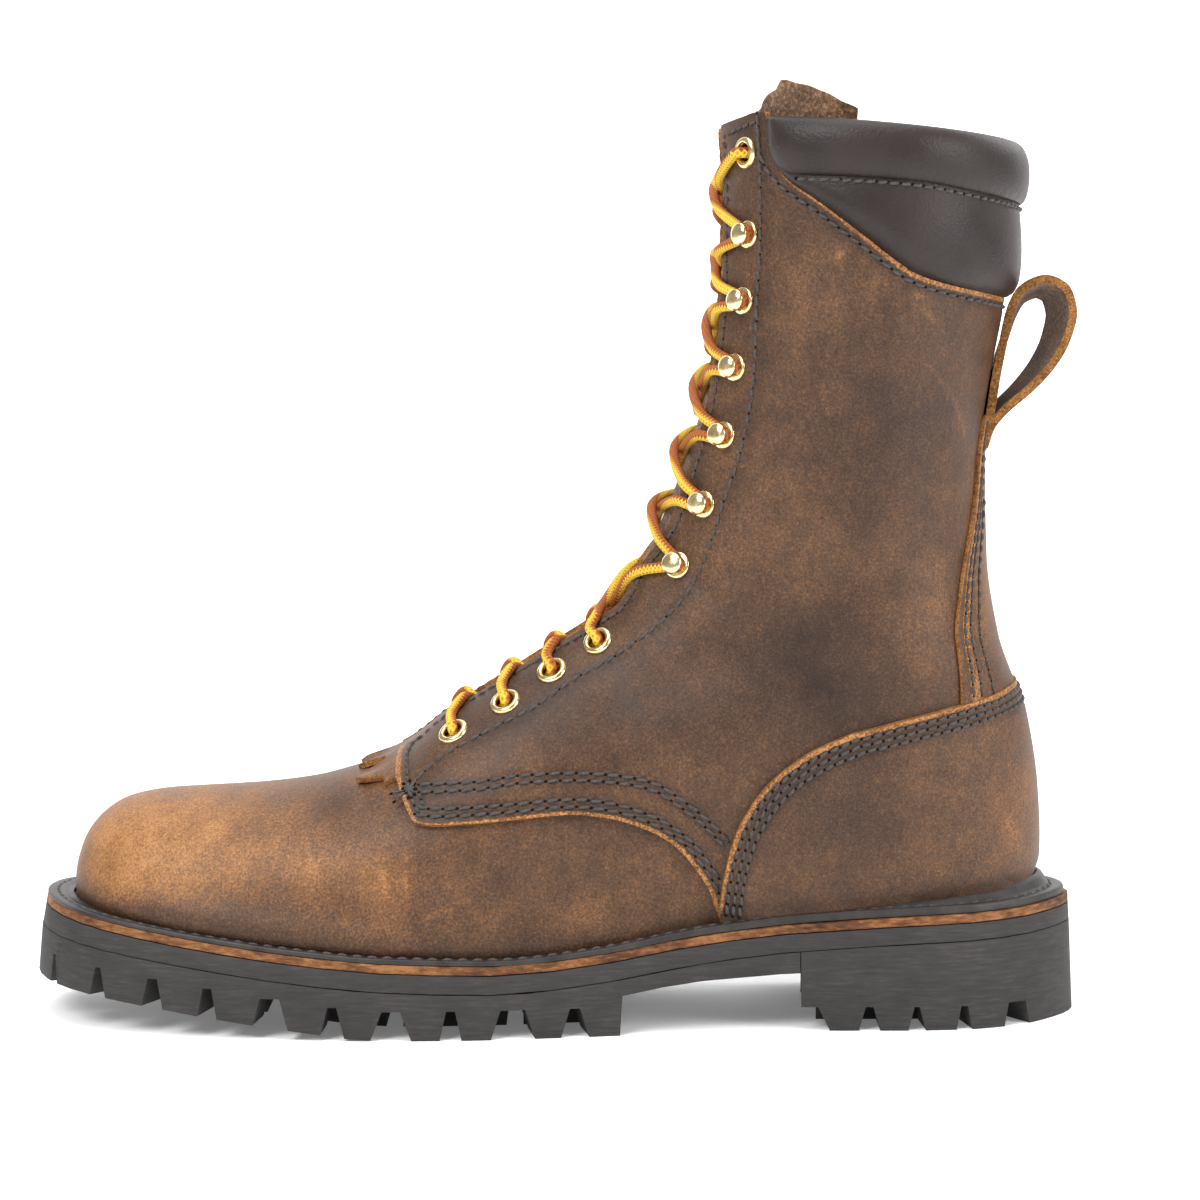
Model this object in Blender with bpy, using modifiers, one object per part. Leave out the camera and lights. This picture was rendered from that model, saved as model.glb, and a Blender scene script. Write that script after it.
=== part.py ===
"""A left lace-up logger boot with a lugged sole and a padded collar, standing on its sole.

Tables and driving dimensions are in millimetres: x runs from toe (-) to heel (+), y from the
outer side (-) to the inner side (+), z up from the floor.
"""

import math
from collections import namedtuple

import bmesh
import bpy
import numpy as np
from mathutils import Matrix, Vector

MM = 0.001

# Driving dimensions
GAP = 0.3
WALL = 2.0
LEATHER = 1.7
LEATHER_MIDSOLE = 2.5
MIDSOLE_MARGIN = 1.2
INSOLE = 4.0
INSOLE_MARGIN = 3.8
WELT_MARGIN = 2.5
WELT_LEDGE = 0.62
WELT_EDGE = 2.3
WELT_CLEARANCE = 1.4
HEEL_WELT_CLEARANCE = 3.6
LUG_DEPTH = 8.5
HEEL_LUG_DEPTH = 7.0
EDGE_LUG_LENGTH = 17.0
TREAD_GROOVE = 5.0
TREAD_GROOVE_DEPTH = 6.0
LACE_DIAMETER = 3.4
HOOK_BASE = 4.0
HOOK_BASE_HEIGHT = 0.8
HOOK_HEAD = 2.9
HOOK_HEAD_HEIGHT = 1.9
HOOK_NECK = 1.3
HOOK_THROAT = 4.2
EYELET_RADIUS = 3.4
EYELET_BEAD = 1.1
EYELET_FLATNESS = 0.42
TAB_GAP = 8.0
LOOP_WIDTH = 22.0
LOOP_THICKNESS = 2.2

# Lifts of the layers over the upper's outer skin
QUARTER_LIFT = 2 * GAP
COUNTER_LIFT = QUARTER_LIFT + LEATHER + 2 * GAP
TONGUE_LIFT = -(WALL + 4 * GAP)

# Plan outlines: x, outer edge, inner edge. The first and last rows are the tips.
Edge = namedtuple("Edge", "x outer inner")
SOLE_EDGE = (
    Edge(-158, 3, 3),
    Edge(-154, -16, 22),
    Edge(-146, -29, 33),
    Edge(-135, -38, 40.5),
    Edge(-120, -44.5, 45.5),
    Edge(-100, -50, 49),
    Edge(-75, -53.5, 50.5),
    Edge(-50, -54.5, 50),
    Edge(-25, -53.5, 47),
    Edge(0, -50, 42),
    Edge(25, -45.5, 37),
    Edge(50, -41.5, 34.5),
    Edge(75, -39.5, 35),
    Edge(100, -39.5, 37.5),
    Edge(120, -38, 37.5),
    Edge(138, -31, 32),
    Edge(150, -19, 20.5),
    Edge(158, 0, 0),
)
FEATHER_EDGE = (
    Edge(-146, 3, 3),
    Edge(-144, -9, 14),
    Edge(-138, -20.5, 24),
    Edge(-129.5, -29, 31.5),
    Edge(-118, -35.5, 36.5),
    Edge(-106, -39.5, 39.5),
    Edge(-75, -44.5, 41.5),
    Edge(-50, -45.5, 41),
    Edge(-25, -44.5, 38),
    Edge(0, -41, 33.5),
    Edge(25, -36.5, 29.5),
    Edge(50, -33, 27),
    Edge(75, -31.5, 27.5),
    Edge(100, -30.5, 28.5),
    Edge(120, -26.5, 26),
    Edge(133, -18.5, 19),
    Edge(140, -10, 10),
    Edge(143, 0, 0),
)

# Heights along the sole: x, lug tips, under the rubber midsole, under the leather midsole, welt rim
Level = namedtuple("Level", "x tread joint leather rim")
SOLE_LEVELS = (
    Level(-158, 12.0, 26.5, 33.0, 3.6),
    Level(-140, 10.6, 24.3, 30.2, 3.4),
    Level(-120, 8.3, 21.7, 27.2, 3.2),
    Level(-104, 6.3, 19.6, 25.0, 3.0),
    Level(-75, 2.6, 16.0, 21.4, 3.0),
    Level(-50, 0.0, 13.8, 19.2, 3.0),
    Level(-15, 0.0, 12.8, 18.2, 3.0),
    Level(13, 0.0, 15.2, 20.6, 3.0),
    Level(43, 0.0, 20.0, 25.4, 3.0),
    Level(73, 0.0, 23.2, 28.6, 3.2),
    Level(102, 0.0, 25.2, 30.5, 3.8),
    Level(130, 0.0, 26.3, 31.6, 5.6),
    Level(158, 0.0, 27.4, 32.6, 7.6),
)
FOREPART_END = 19.5
WAIST_UNDERSIDE = ((20, 11.6), (41, 15.0), (75, 17.2))

# Plan curve of the heel's breast, from the outer side to the inner side: x, y
BREAST_CURVE = (
    (73, -46), (73, -38), (78, -24), (80.5, -8), (79.5, 8), (74, 22), (65, 32), (62, 38), (62, 46),
)

# Lug notches from toe to heel: x of the middle, width at the floor, width at the top
Notch = namedtuple("Notch", "x wide narrow")
FOREPART_NOTCHES = (
    Notch(-150, 4.5, 1.6),
    Notch(-135, 5.7, 1.8),
    Notch(-118, 6.8, 3.0),
    Notch(-101.4, 5.9, 2.6),
    Notch(-82.8, 10.5, 5.8),
    Notch(-64.5, 7.0, 2.6),
    Notch(-47.3, 12.0, 5.3),
    Notch(-29.9, 6.4, 2.6),
    Notch(-11.7, 13.1, 7.3),
    Notch(6.4, 8.5, 3.0),
)
HEEL_NOTCHES = (
    Notch(74, 15.0, 8.0),
    Notch(93.2, 6.3, 2.3),
    Notch(107.3, 5.3, 1.6),
    Notch(121.5, 5.0, 2.0),
    Notch(138, 9.6, 6.4),
)
CROSS_GROOVES = (-118, -82.8, -47.3, -11.7)

# Sections of the last, from the toe to above the collar. Each runs from a front point to an end
# point in the side view: the end lies on the feather edge where end_z is None, otherwise on the
# back seam. bulge widens the middle past the end, widest_at is the fraction of the run where the
# section is widest, ridge is the y of its front point, and gap is half the throat's width there.
Section = namedtuple("Section", "front_x front_z end_x end_z bulge widest_at ridge gap")
SECTIONS = (
    Section(-146.0, 42.0, -146, None, 0.0, 0.75, 3.0, 0),
    Section(-144.0, 50.7, -144, None, 0.6, 0.75, 3.0, 0),
    Section(-138.0, 59.2, -138, None, 0.9, 0.75, 2.8, 0),
    Section(-129.5, 64.2, -129.5, None, 1.0, 0.75, 2.6, 0),
    Section(-118.0, 66.4, -118, None, 1.0, 0.75, 2.4, 0),
    Section(-106.0, 67.2, -106, None, 1.0, 0.75, 2.0, 0),
    Section(-90.0, 68.2, -90, None, 1.0, 0.75, 1.6, 0),
    Section(-73.0, 70.4, -73, None, 1.0, 0.74, 1.2, 0),
    Section(-59.0, 75.0, -58, None, 1.0, 0.72, 0.8, 0),
    Section(-46.0, 82.0, -43, None, 1.0, 0.70, 0.4, 0),
    Section(-31.0, 92.5, -25, None, 0.8, 0.66, 0.0, 8.0),
    Section(-15.0, 102.5, -4, None, 0.8, 0.62, 0.0, 9.0),
    Section(0.0, 111.5, 20, None, 1.0, 0.60, 0.0, 9.5),
    Section(11.0, 119.0, 52, None, 3.0, 0.58, 0.0, 10.0),
    Section(18.5, 127.0, 92, None, 7.0, 0.55, 0.0, 12.0),
    Section(22.5, 135.5, 126, None, 14.5, 0.53, 0.0, 11.0),
    Section(25.5, 142.0, 138, None, 25.5, 0.52, 0.0, 10.0),
    Section(27.3, 146.0, 142.8, 36.0, 38.0, 0.51, 0.0, 10.0),
    Section(28.8, 149.5, 143.0, 52.0, 37.8, 0.51, 0.0, 10.0),
    Section(30.5, 153.5, 142.2, 68.0, 37.6, 0.51, 0.0, 10.0),
    Section(33.0, 159.5, 138.6, 90.0, 37.6, 0.51, 0.0, 10.0),
    Section(36.5, 169.0, 130.4, 114.0, 37.8, 0.52, 0.0, 10.0),
    Section(40.5, 181.5, 126.6, 139.0, 38.4, 0.53, 0.0, 10.0),
    Section(44.5, 197.0, 126.0, 166.0, 40.0, 0.54, 0.0, 10.5),
    Section(47.5, 214.0, 129.0, 193.0, 42.0, 0.55, 0.0, 10.5),
    Section(50.0, 232.0, 133.2, 219.0, 43.6, 0.55, 0.0, 11.0),
    Section(51.0, 250.0, 134.2, 239.0, 44.6, 0.55, 0.0, 11.0),
    Section(50.5, 267.0, 134.0, 257.0, 45.0, 0.55, 0.0, 12.0),
    Section(49.5, 290.0, 133.6, 281.0, 45.2, 0.55, 0.0, 12.0),
)
THROAT_START = 9
COLLAR_STATION = len(SECTIONS) - 2
FRONT_STEPS = 5
REAR_STEPS = 5

# Side-view edges of the overlays: x, z
QUARTER_FRONT = (
    (-49.0, 92.0), (-48.2, 81.0), (-45.6, 76.0), (-43.6, 70.0), (-41.0, 63.5), (-38.0, 61.6), (-30, 62.3),
    (-11, 64.0), (5, 65.2), (16, 64.0), (26, 60.8), (35, 55.4), (42, 47.5), (47, 38.5),
)
QUARTER_TOP = (
    (136, 215), (124, 217.6), (112, 220), (104, 222.6), (93, 231), (78, 243), (69, 250), (64.4, 257),
)
COUNTER_EDGE = (
    (48.5, 36), (50, 45), (53.5, 58), (60, 70), (70, 79.5), (84, 87), (102, 92), (120, 96), (150, 103),
)
BACKSTAY_EDGE = ((115.5, 92), (113.6, 112), (116, 127), (120.5, 144), (125, 161), (129, 178))

# Collar: fraction round the shaft, lower edge, seam between the two rolls, top
CollarRow = namedtuple("CollarRow", "around low seam top")
COLLAR_ROWS = (
    CollarRow(0.20, 256.0, 259.5, 268.0),
    CollarRow(0.25, 249.5, 252.5, 267.6),
    CollarRow(0.42, 238.0, 250.5, 266.8),
    CollarRow(0.62, 225.0, 248.8, 266.0),
    CollarRow(0.80, 219.8, 246.4, 264.6),
    CollarRow(1.00, 215.8, 243.6, 262.6),
)
COLLAR_STEPS = 9
COLLAR_LIFT = 4 * GAP
UPPER_ROLL = 7.4
LOWER_ROLL = 5.8
ROLL_SEAM = 3.6
COLLAR_EDGE = 2.6
COLLAR_TOP_EDGE = 1.6

# Tongue: width in turns of the section at each station, and its top edge from ridge to wing
TONGUE_WIDTH = ((9, 0.40), (12, 0.55), (16, 0.60), (23, 0.72), (28, 0.86))
TONGUE_TOP = ((0, 276.0), (0.35, 281.0), (0.6, 276.0), (0.86, 270.5))
TONGUE_THICKNESS = 2.0
TONGUE_COLUMNS = 8
TONGUE_ROWS = 15

# Kiltie: front edge with its cut tips and back edge, as stations across half its width
KILTIE_TURN = 0.38
KILTIE_THICKNESS = 1.8
KILTIE_ROWS = 3
Fringe = namedtuple("Fringe", "across front back")
KILTIE_FRINGE = (
    Fringe(0.0, 8.55, 9.9),
    Fringe(0.20, 7.95, 9.9),
    Fringe(0.30, 8.15, 8.74),
    Fringe(0.46, 8.60, 8.74),
    Fringe(0.72, 7.98, 8.74),
    Fringe(1.0, 8.50, 8.72),
)

# Pull loop: middle line of the strap in the side view, from its foot up the back and round
LOOP_PATH = (
    (131.3, 181.0),
    (132.7, 192.0),
    (134.6, 203.0),
    (136.3, 212.5),
    (139.8, 219.0),
    (147.2, 220.4),
    (152.4, 216.8),
    (153.4, 210.0),
    (151.4, 202.5),
    (147.6, 195.5),
    (141.6, 188.6),
    (134.4, 181.6),
)

# Lacing: places of the eyelets and hooks in the side view
EYELETS = ((-31, 86), (-15.5, 95.5), (-1.5, 105), (12.5, 114), (57, 258))
HOOKS = ((36.5, 136), (44.5, 154.5), (50.5, 175), (54, 195), (56.5, 214.5), (58, 234))
LACE_LIFT = QUARTER_LIFT + LEATHER + GAP + HOOK_BASE_HEIGHT + HOOK_THROAT / 2
LACE_WRAP = HOOK_NECK + 3 * GAP + LACE_DIAMETER / 2
LACE_STEPS = 4

COLOURS = {
    "brown_leather": ((0.16, 0.075, 0.030), 0.55, 0.0),
    "black_leather": ((0.026, 0.020, 0.018), 0.42, 0.0),
    "lining": ((0.21, 0.12, 0.060), 0.75, 0.0),
    "rubber": ((0.030, 0.028, 0.027), 0.70, 0.0),
    "midsole": ((0.20, 0.080, 0.028), 0.65, 0.0),
    "brass": ((0.76, 0.56, 0.22), 0.28, 1.0),
    "lace": ((0.60, 0.33, 0.030), 0.70, 0.0),
}


def smooth(places, values, at):
    """The value at one place of a smooth curve through a table, without overshoot."""
    places = np.asarray(places, float)
    values = np.asarray(values, float)
    spans = np.diff(places).reshape((-1,) + (1,) * (values.ndim - 1))
    slopes = np.diff(values, axis=0) / spans
    before = slopes[:-1]
    after = slopes[1:]
    agree = before * after > 0
    total = np.where(agree, before + after, 1.0)
    middle = np.where(agree, 2 * before * after / total, 0.0)
    tangents = np.concatenate([slopes[:1], middle, slopes[-1:]])
    at = min(max(at, places[0]), places[-1])
    k = min(int(np.searchsorted(places, at, side="right")) - 1, len(places) - 2)
    span = spans[k]
    t = (at - places[k]) / span
    rise = values[k + 1] - values[k]
    bend = t * (1 - t) * ((1 - t) * (span * tangents[k] - rise) - t * (span * tangents[k + 1] - rise))
    return values[k] + t * rise + bend


def level(name, x):
    """One of the sole's heights at x."""
    return float(smooth([row.x for row in SOLE_LEVELS], [getattr(row, name) for row in SOLE_LEVELS], x))


def feather_height(x):
    return level("leather", x) + GAP + LEATHER_MIDSOLE + GAP


def angle_of(edge, x):
    """Angle along a plan outline, 0 at the toe tip and pi at the heel tip, which rounds both tips."""
    middle = (edge[0].x + edge[-1].x) / 2
    half = (edge[-1].x - edge[0].x) / 2
    return math.acos(max(-1.0, min(1.0, (middle - x) / half)))


def edge_point(edge, side, angle, inset=0.0):
    """Point (x, y) of a plan outline at this angle, moved inwards by inset; side is -1 outer, 1 inner."""
    angles = [angle_of(edge, row.x) for row in edge]
    sides = [row.outer if side < 0 else row.inner for row in edge]
    middle = (edge[0].x + edge[-1].x) / 2
    half = (edge[-1].x - edge[0].x) / 2

    def place(a):
        return np.array([middle - half * math.cos(a), float(smooth(angles, sides, a))])

    if angle < 1e-6:
        return place(0.0) + (inset, 0)
    if angle > math.pi - 1e-6:
        return place(math.pi) - (inset, 0)
    along = place(angle + 1e-3) - place(angle - 1e-3)
    along /= np.linalg.norm(along)
    return place(angle) + inset * side * np.array([along[1], -along[0]])


def section_columns():
    """The sections' table as one array, with their half-widths read from the feather edge."""
    rows = []
    for section in SECTIONS:
        end_z = section.end_z
        ends = [0.0, 0.0]
        if end_z is None:
            end_z = feather_height(section.end_x)
            angle = angle_of(FEATHER_EDGE, section.end_x)
            for k, side in enumerate((-1, 1)):
                ends[k] = side * (edge_point(FEATHER_EDGE, side, angle)[1] - section.ridge)
        rows.append([
            section.front_x, section.front_z, section.end_x, end_z, section.widest_at, section.ridge,
            section.gap, ends[0], ends[1], ends[0] + section.bulge, ends[1] + section.bulge,
        ])
    return np.array(rows)


LAST = section_columns()
STATIONS = np.arange(len(SECTIONS))


def skin_point(station, turn):
    """Point of the upper's outer skin. turn runs from 0 on the ridge over 1 at the widest place to 2
    at the end of the section, negative on the outer side."""
    fx, fz, ex, ez, widest, ridge, _, *halves = smooth(STATIONS, LAST, station)
    side = -1 if turn < 0 else 1
    turn = abs(turn)
    end = halves[0 if side < 0 else 1]
    wide = halves[2 if side < 0 else 3]
    if turn > 2 and end < 1e-6:
        turn = 4 - turn
        side = -side
    turn = min(turn, 2)
    if turn <= 1:
        angle = turn * math.pi / 2
        run = widest * (1 - math.cos(angle))
        half = wide * math.sin(angle)
    else:
        angle = (turn - 1) * math.pi / 2
        run = widest + (1 - widest) * math.sin(angle)
        power = 1 + end / max(wide, 1e-6)
        half = end + (wide - end) * max(math.cos(angle), 0.0) ** power
    return np.array([fx + (ex - fx) * run, ridge + side * half, fz + (ez - fz) * run])


def skin_normal(station, turn):
    """Outward unit normal of the skin."""
    small = 1e-3
    if station < small:
        return np.array([-1.0, 0.0, 0.0])
    top = STATIONS[-1]
    along = skin_point(min(station + small, top), turn) - skin_point(min(station, top) - small, turn)
    around = skin_point(station, turn + small) - skin_point(station, turn - small)
    normal = np.cross(along, around)
    normal /= np.linalg.norm(normal)
    fx, fz, ex, ez, widest, ridge, *_ = smooth(STATIONS, LAST, station)
    heart = np.array([fx + (ex - fx) * widest, ridge, fz + (ez - fz) * widest])
    return normal if normal @ (skin_point(station, turn) - heart) > 0 else -normal


def skin(station, turn, lift=0.0):
    return skin_point(station, turn) + lift * skin_normal(station, turn)


def throat_turn(station):
    """Turn of the throat's edge, where the section has opened to its gap."""
    values = smooth(STATIONS, LAST, station)
    return math.asin(min(1.0, values[6] / max(values[9], 1e-6))) * 2 / math.pi


def station_at(turn, height):
    """Station on the shaft where the skin reaches this height at this turn."""
    low = 10.0
    high = float(STATIONS[-1])
    for _ in range(40):
        middle = (low + high) / 2
        if skin_point(middle, turn)[2] < height:
            low = middle
        else:
            high = middle
    return (low + high) / 2


def turn_of(around):
    """Turn on the shaft for a fraction of the way from front to back."""
    widest = SECTIONS[COLLAR_STATION].widest_at
    if around < widest:
        return math.acos(1 - around / widest) * 2 / math.pi
    return 1 + math.asin((around - widest) / (1 - widest)) * 2 / math.pi


def material(name):
    """Principled material in the part's colour, made once."""
    found = bpy.data.materials.get(name)
    if found:
        return found
    colour, roughness, metallic = COLOURS[name]
    made = bpy.data.materials.new(name)
    made.use_nodes = True
    shader = made.node_tree.nodes["Principled BSDF"]
    shader.inputs["Base Color"].default_value = (*colour, 1.0)
    shader.inputs["Roughness"].default_value = roughness
    shader.inputs["Metallic"].default_value = metallic
    made.diffuse_color = (*colour, 1.0)
    return made


def add_object(name, mesh, finish, group=None):
    """An object of the boot, or a hidden cutter where finish is None."""
    obj = bpy.data.objects.new(name, mesh)
    if finish is None:
        (group or cutters).objects.link(obj)
        obj.hide_render = True
        obj.display_type = "WIRE"
        return obj
    boot.objects.link(obj)
    mesh.materials.append(material(finish))
    mesh.shade_smooth()
    mesh.set_sharp_from_angle(angle=math.radians(40))
    return obj


def mesh_from(name, shape):
    """Mesh in metres from a bmesh in millimetres, with doubled points merged."""
    bmesh.ops.remove_doubles(shape, verts=shape.verts, dist=1e-3)
    bmesh.ops.scale(shape, vec=(MM, MM, MM), verts=shape.verts)
    mesh = bpy.data.meshes.new(name)
    shape.to_mesh(mesh)
    shape.free()
    return mesh


def bridge(shape, rings, closed_ring, closed_run):
    """Quads between rows of points; returns the rows of vertices."""
    rows = [[shape.verts.new(Vector(point)) for point in ring] for ring in rings]
    runs = list(zip(rows, rows[1:]))
    if closed_run:
        runs.append((rows[-1], rows[0]))
    for first, second in runs:
        count = len(first)
        for k in range(count if closed_ring else count - 1):
            n = (k + 1) % count
            shape.faces.new((first[k], first[n], second[n], second[k]))
    return rows


def loft(name, rings, finish, closed_run=False, group=None):
    """Closed solid through rings of points, capped at both ends unless the run closes on itself."""
    shape = bmesh.new()
    rows = bridge(shape, rings, True, closed_run)
    if not closed_run:
        shape.faces.new(rows[0][::-1])
        shape.faces.new(rows[-1])
    bmesh.ops.remove_doubles(shape, verts=shape.verts, dist=1e-3)
    bmesh.ops.recalc_face_normals(shape, faces=shape.faces)
    return add_object(name, mesh_from(name, shape), finish, group)


def prism(name, outline, plane, low, high):
    """Hidden cutter: an outline in the "xz" or "xy" plane, extruded from low to high."""
    shape = bmesh.new()
    if plane == "xz":
        points = [Vector((x, low, z)) for x, z in outline]
        shift = Vector((0, high - low, 0))
    else:
        points = [Vector((x, y, low)) for x, y in outline]
        shift = Vector((0, 0, high - low))
    face = shape.faces.new([shape.verts.new(point) for point in points])
    made = bmesh.ops.extrude_face_region(shape, geom=[face])["geom"]
    moved = [item for item in made if isinstance(item, bmesh.types.BMVert)]
    bmesh.ops.translate(shape, vec=shift, verts=moved)
    bmesh.ops.recalc_face_normals(shape, faces=shape.faces)
    return add_object(name, mesh_from(name, shape), None)


def cut(obj, cutter, operation="DIFFERENCE"):
    """Live Boolean with one cutter, or with all of a collection."""
    modifier = obj.modifiers.new("cut_" + cutter.name, "BOOLEAN")
    modifier.operation = operation
    if isinstance(cutter, bpy.types.Collection):
        modifier.operand_type = "COLLECTION"
        modifier.collection = cutter
    else:
        modifier.object = cutter


def sampled(points, count):
    """A smooth run of points through a short list of (x, z) places."""
    reach = np.concatenate([[0], np.cumsum(np.linalg.norm(np.diff(np.array(points), axis=0), axis=1))])
    return [tuple(smooth(reach, points, reach[-1] * k / count)) for k in range(count + 1)]


def slab(name, finish, edge, angles, inset, low, high):
    """Layer of the sole over a plan outline, between two heights that follow x."""
    rings = []
    for angle in angles:
        outer = edge_point(edge, -1, angle, inset)
        inner = edge_point(edge, 1, angle, inset)
        rings.append([
            (*outer, low(outer[0])),
            (*outer, high(outer[0])),
            (*inner, high(inner[0])),
            (*inner, low(inner[0])),
        ])
    return loft(name, rings, finish)


def spread(first, last, count):
    return [first + (last - first) * k / count for k in range(count + 1)]


def add_notches(group, notches, depth):
    """Wedge cutters between the lugs, square to the edge of the sole on both sides."""
    outside = 4.0
    below = 3.0
    for number, notch in enumerate(notches):
        ceiling = level("tread", notch.x) + depth
        floor = level("tread", notch.x) - below
        floor_width = notch.wide + (notch.wide - notch.narrow) * below / depth
        for side in (-1, 1):
            angle = angle_of(SOLE_EDGE, notch.x)
            start = edge_point(SOLE_EDGE, side, angle, -outside)
            stop = edge_point(SOLE_EDGE, side, angle, EDGE_LUG_LENGTH)
            along = (stop - start) / np.linalg.norm(stop - start)
            across = np.array([-along[1], along[0]])
            rings = [
                [
                    (*(end - across * floor_width / 2), floor),
                    (*(end + across * floor_width / 2), floor),
                    (*(end + across * notch.narrow / 2), ceiling),
                    (*(end - across * notch.narrow / 2), ceiling),
                ]
                for end in (start, stop)
            ]
            loft(f"{group.name}_{number}_{'outer' if side < 0 else 'inner'}", rings, None, group=group)


def add_tread_grooves(group):
    """Groove behind the edge lugs round the forepart, and grooves across its middle."""
    below = 3.0
    near = EDGE_LUG_LENGTH - 1.0
    far = near + TREAD_GROOVE
    last = angle_of(SOLE_EDGE, FOREPART_END + 8)
    rings = []
    steps = spread(last, 0.0, 14)
    for side, angles in ((-1, steps), (1, steps[-2::-1])):
        for angle in angles:
            outside = edge_point(SOLE_EDGE, side, angle, near)
            inside = edge_point(SOLE_EDGE, side, angle, far)
            height = level("tread", outside[0])
            rings.append([
                (*outside, height - below),
                (*inside, height - below),
                (*inside, height + TREAD_GROOVE_DEPTH),
                (*outside, height + TREAD_GROOVE_DEPTH),
            ])
    loft("tread_groove", rings, None, group=group)
    for number, x in enumerate(CROSS_GROOVES):
        angle = angle_of(SOLE_EDGE, x)
        height = level("tread", x)
        rings = [
            [
                (x - TREAD_GROOVE / 2, y, height - below),
                (x + TREAD_GROOVE / 2, y, height - below),
                (x + TREAD_GROOVE / 2, y, height + TREAD_GROOVE_DEPTH - 1),
                (x - TREAD_GROOVE / 2, y, height + TREAD_GROOVE_DEPTH - 1),
            ]
            for y in (edge_point(SOLE_EDGE, side, angle, near + 2)[1] for side in (-1, 1))
        ]
        loft(f"cross_groove_{number}", rings, None, group=group)


def cutter_group(name):
    group = bpy.data.collections.new(name)
    cutters.children.link(group)
    return group


def add_sole():
    """Outsole, heel, the two midsoles, welt and insole."""
    heel_tip = math.pi
    breast = sampled(BREAST_CURVE, 14)
    reach = 220

    def underside(x):
        if x <= FOREPART_END:
            return level("tread", x)
        return float(smooth([row[0] for row in WAIST_UNDERSIDE], [row[1] for row in WAIST_UNDERSIDE], x))

    angles = spread(0.0, angle_of(SOLE_EDGE, FOREPART_END), 20)
    angles += spread(angle_of(SOLE_EDGE, FOREPART_END + 0.8), angle_of(SOLE_EDGE, 88), 6)
    outsole = slab("outsole", "rubber", SOLE_EDGE, angles, 0.0, underside, lambda x: level("joint", x))
    forepart_tread = cutter_group("forepart_tread")
    add_notches(forepart_tread, FOREPART_NOTCHES, LUG_DEPTH)
    add_tread_grooves(forepart_tread)
    cut(outsole, forepart_tread)
    behind = [(x - GAP, y) for x, y in breast] + [(reach, BREAST_CURVE[-1][1]), (reach, BREAST_CURVE[0][1])]
    cut(outsole, prism("behind_breast", behind, "xy", -10, 60))

    angles = spread(angle_of(SOLE_EDGE, 52), heel_tip, 16)
    heel = slab("heel", "rubber", SOLE_EDGE, angles, 0.0,
                lambda x: level("tread", x), lambda x: level("joint", x))
    before = breast + [(-reach, BREAST_CURVE[-1][1]), (-reach, BREAST_CURVE[0][1])]
    cut(heel, prism("before_breast", before, "xy", -10, 60))
    heel_tread = cutter_group("heel_tread")
    add_notches(heel_tread, HEEL_NOTCHES, HEEL_LUG_DEPTH)
    cut(heel, heel_tread)

    full = spread(0.0, heel_tip, 28)
    slab("midsole_rubber", "rubber", SOLE_EDGE, full, MIDSOLE_MARGIN,
         lambda x: level("joint", x) + GAP, lambda x: level("leather", x))
    slab("midsole_leather", "midsole", SOLE_EDGE, full, MIDSOLE_MARGIN,
         lambda x: level("leather", x) + GAP, lambda x: level("leather", x) + GAP + LEATHER_MIDSOLE)
    slab("insole", "lining", FEATHER_EDGE, full, INSOLE_MARGIN,
         feather_height, lambda x: feather_height(x) + INSOLE)
    add_welt(full)


def welt_clearance(x):
    """Room between the feather edge and the welt's inner edge, wider under the heel's counter."""
    return float(smooth((50, 110), (WELT_CLEARANCE, HEEL_WELT_CLEARANCE), x))


def rim_height(x):
    return feather_height(x) + level("rim", x)


def add_welt(angles):
    """Storm welt: a flat stitched edge that rises to a rim against the upper."""
    rings = []
    for side, run in ((-1, angles), (1, angles[-2:0:-1])):
        for angle in run:
            outer = edge_point(SOLE_EDGE, side, angle, WELT_MARGIN)
            x = edge_point(FEATHER_EDGE, side, angle)[0]
            inner = edge_point(FEATHER_EDGE, side, angle, -welt_clearance(x))
            ledge = outer + WELT_LEDGE * (inner - outer)
            rings.append([
                (*outer, feather_height(outer[0])),
                (*outer, feather_height(outer[0]) + WELT_EDGE),
                (*ledge, feather_height(ledge[0]) + WELT_EDGE),
                (*inner, rim_height(inner[0])),
                (*inner, feather_height(inner[0])),
            ])
    loft("welt", rings, "black_leather", closed_run=True)


def skin_surface(name, stations, lift, finish, least_gap=0.0):
    """Open surface of the upper at a lift over its skin, split along the throat."""
    shape = bmesh.new()
    for side in (-1, 1):
        rows = []
        for station in stations:
            opening = throat_turn(station)
            if least_gap:
                opening = max(opening, math.asin(least_gap / LAST[int(station)][9]) * 2 / math.pi)
            turns = spread(opening, 1.0, FRONT_STEPS) + spread(1.0, 2.0, REAR_STEPS)[1:]
            rows.append([skin(station, side * turn, lift) for turn in turns][::side])
        bridge(shape, [row[::-1] for row in rows], False, False)
    return add_object(name, mesh_from(name, shape), finish)


def thicken(obj, thickness, outwards):
    """Solidify an open surface; the first face's side is its outside."""
    modifier = obj.modifiers.new("wall", "SOLIDIFY")
    modifier.thickness = thickness * MM
    modifier.offset = 1.0 if outwards else -1.0
    modifier.use_even_offset = True


def overlay_floor(first, last, count):
    """Side-view line just above the welt's rim."""
    return [(x, rim_height(x) + 2 * GAP) for x in spread(first, last, count)]


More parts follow.
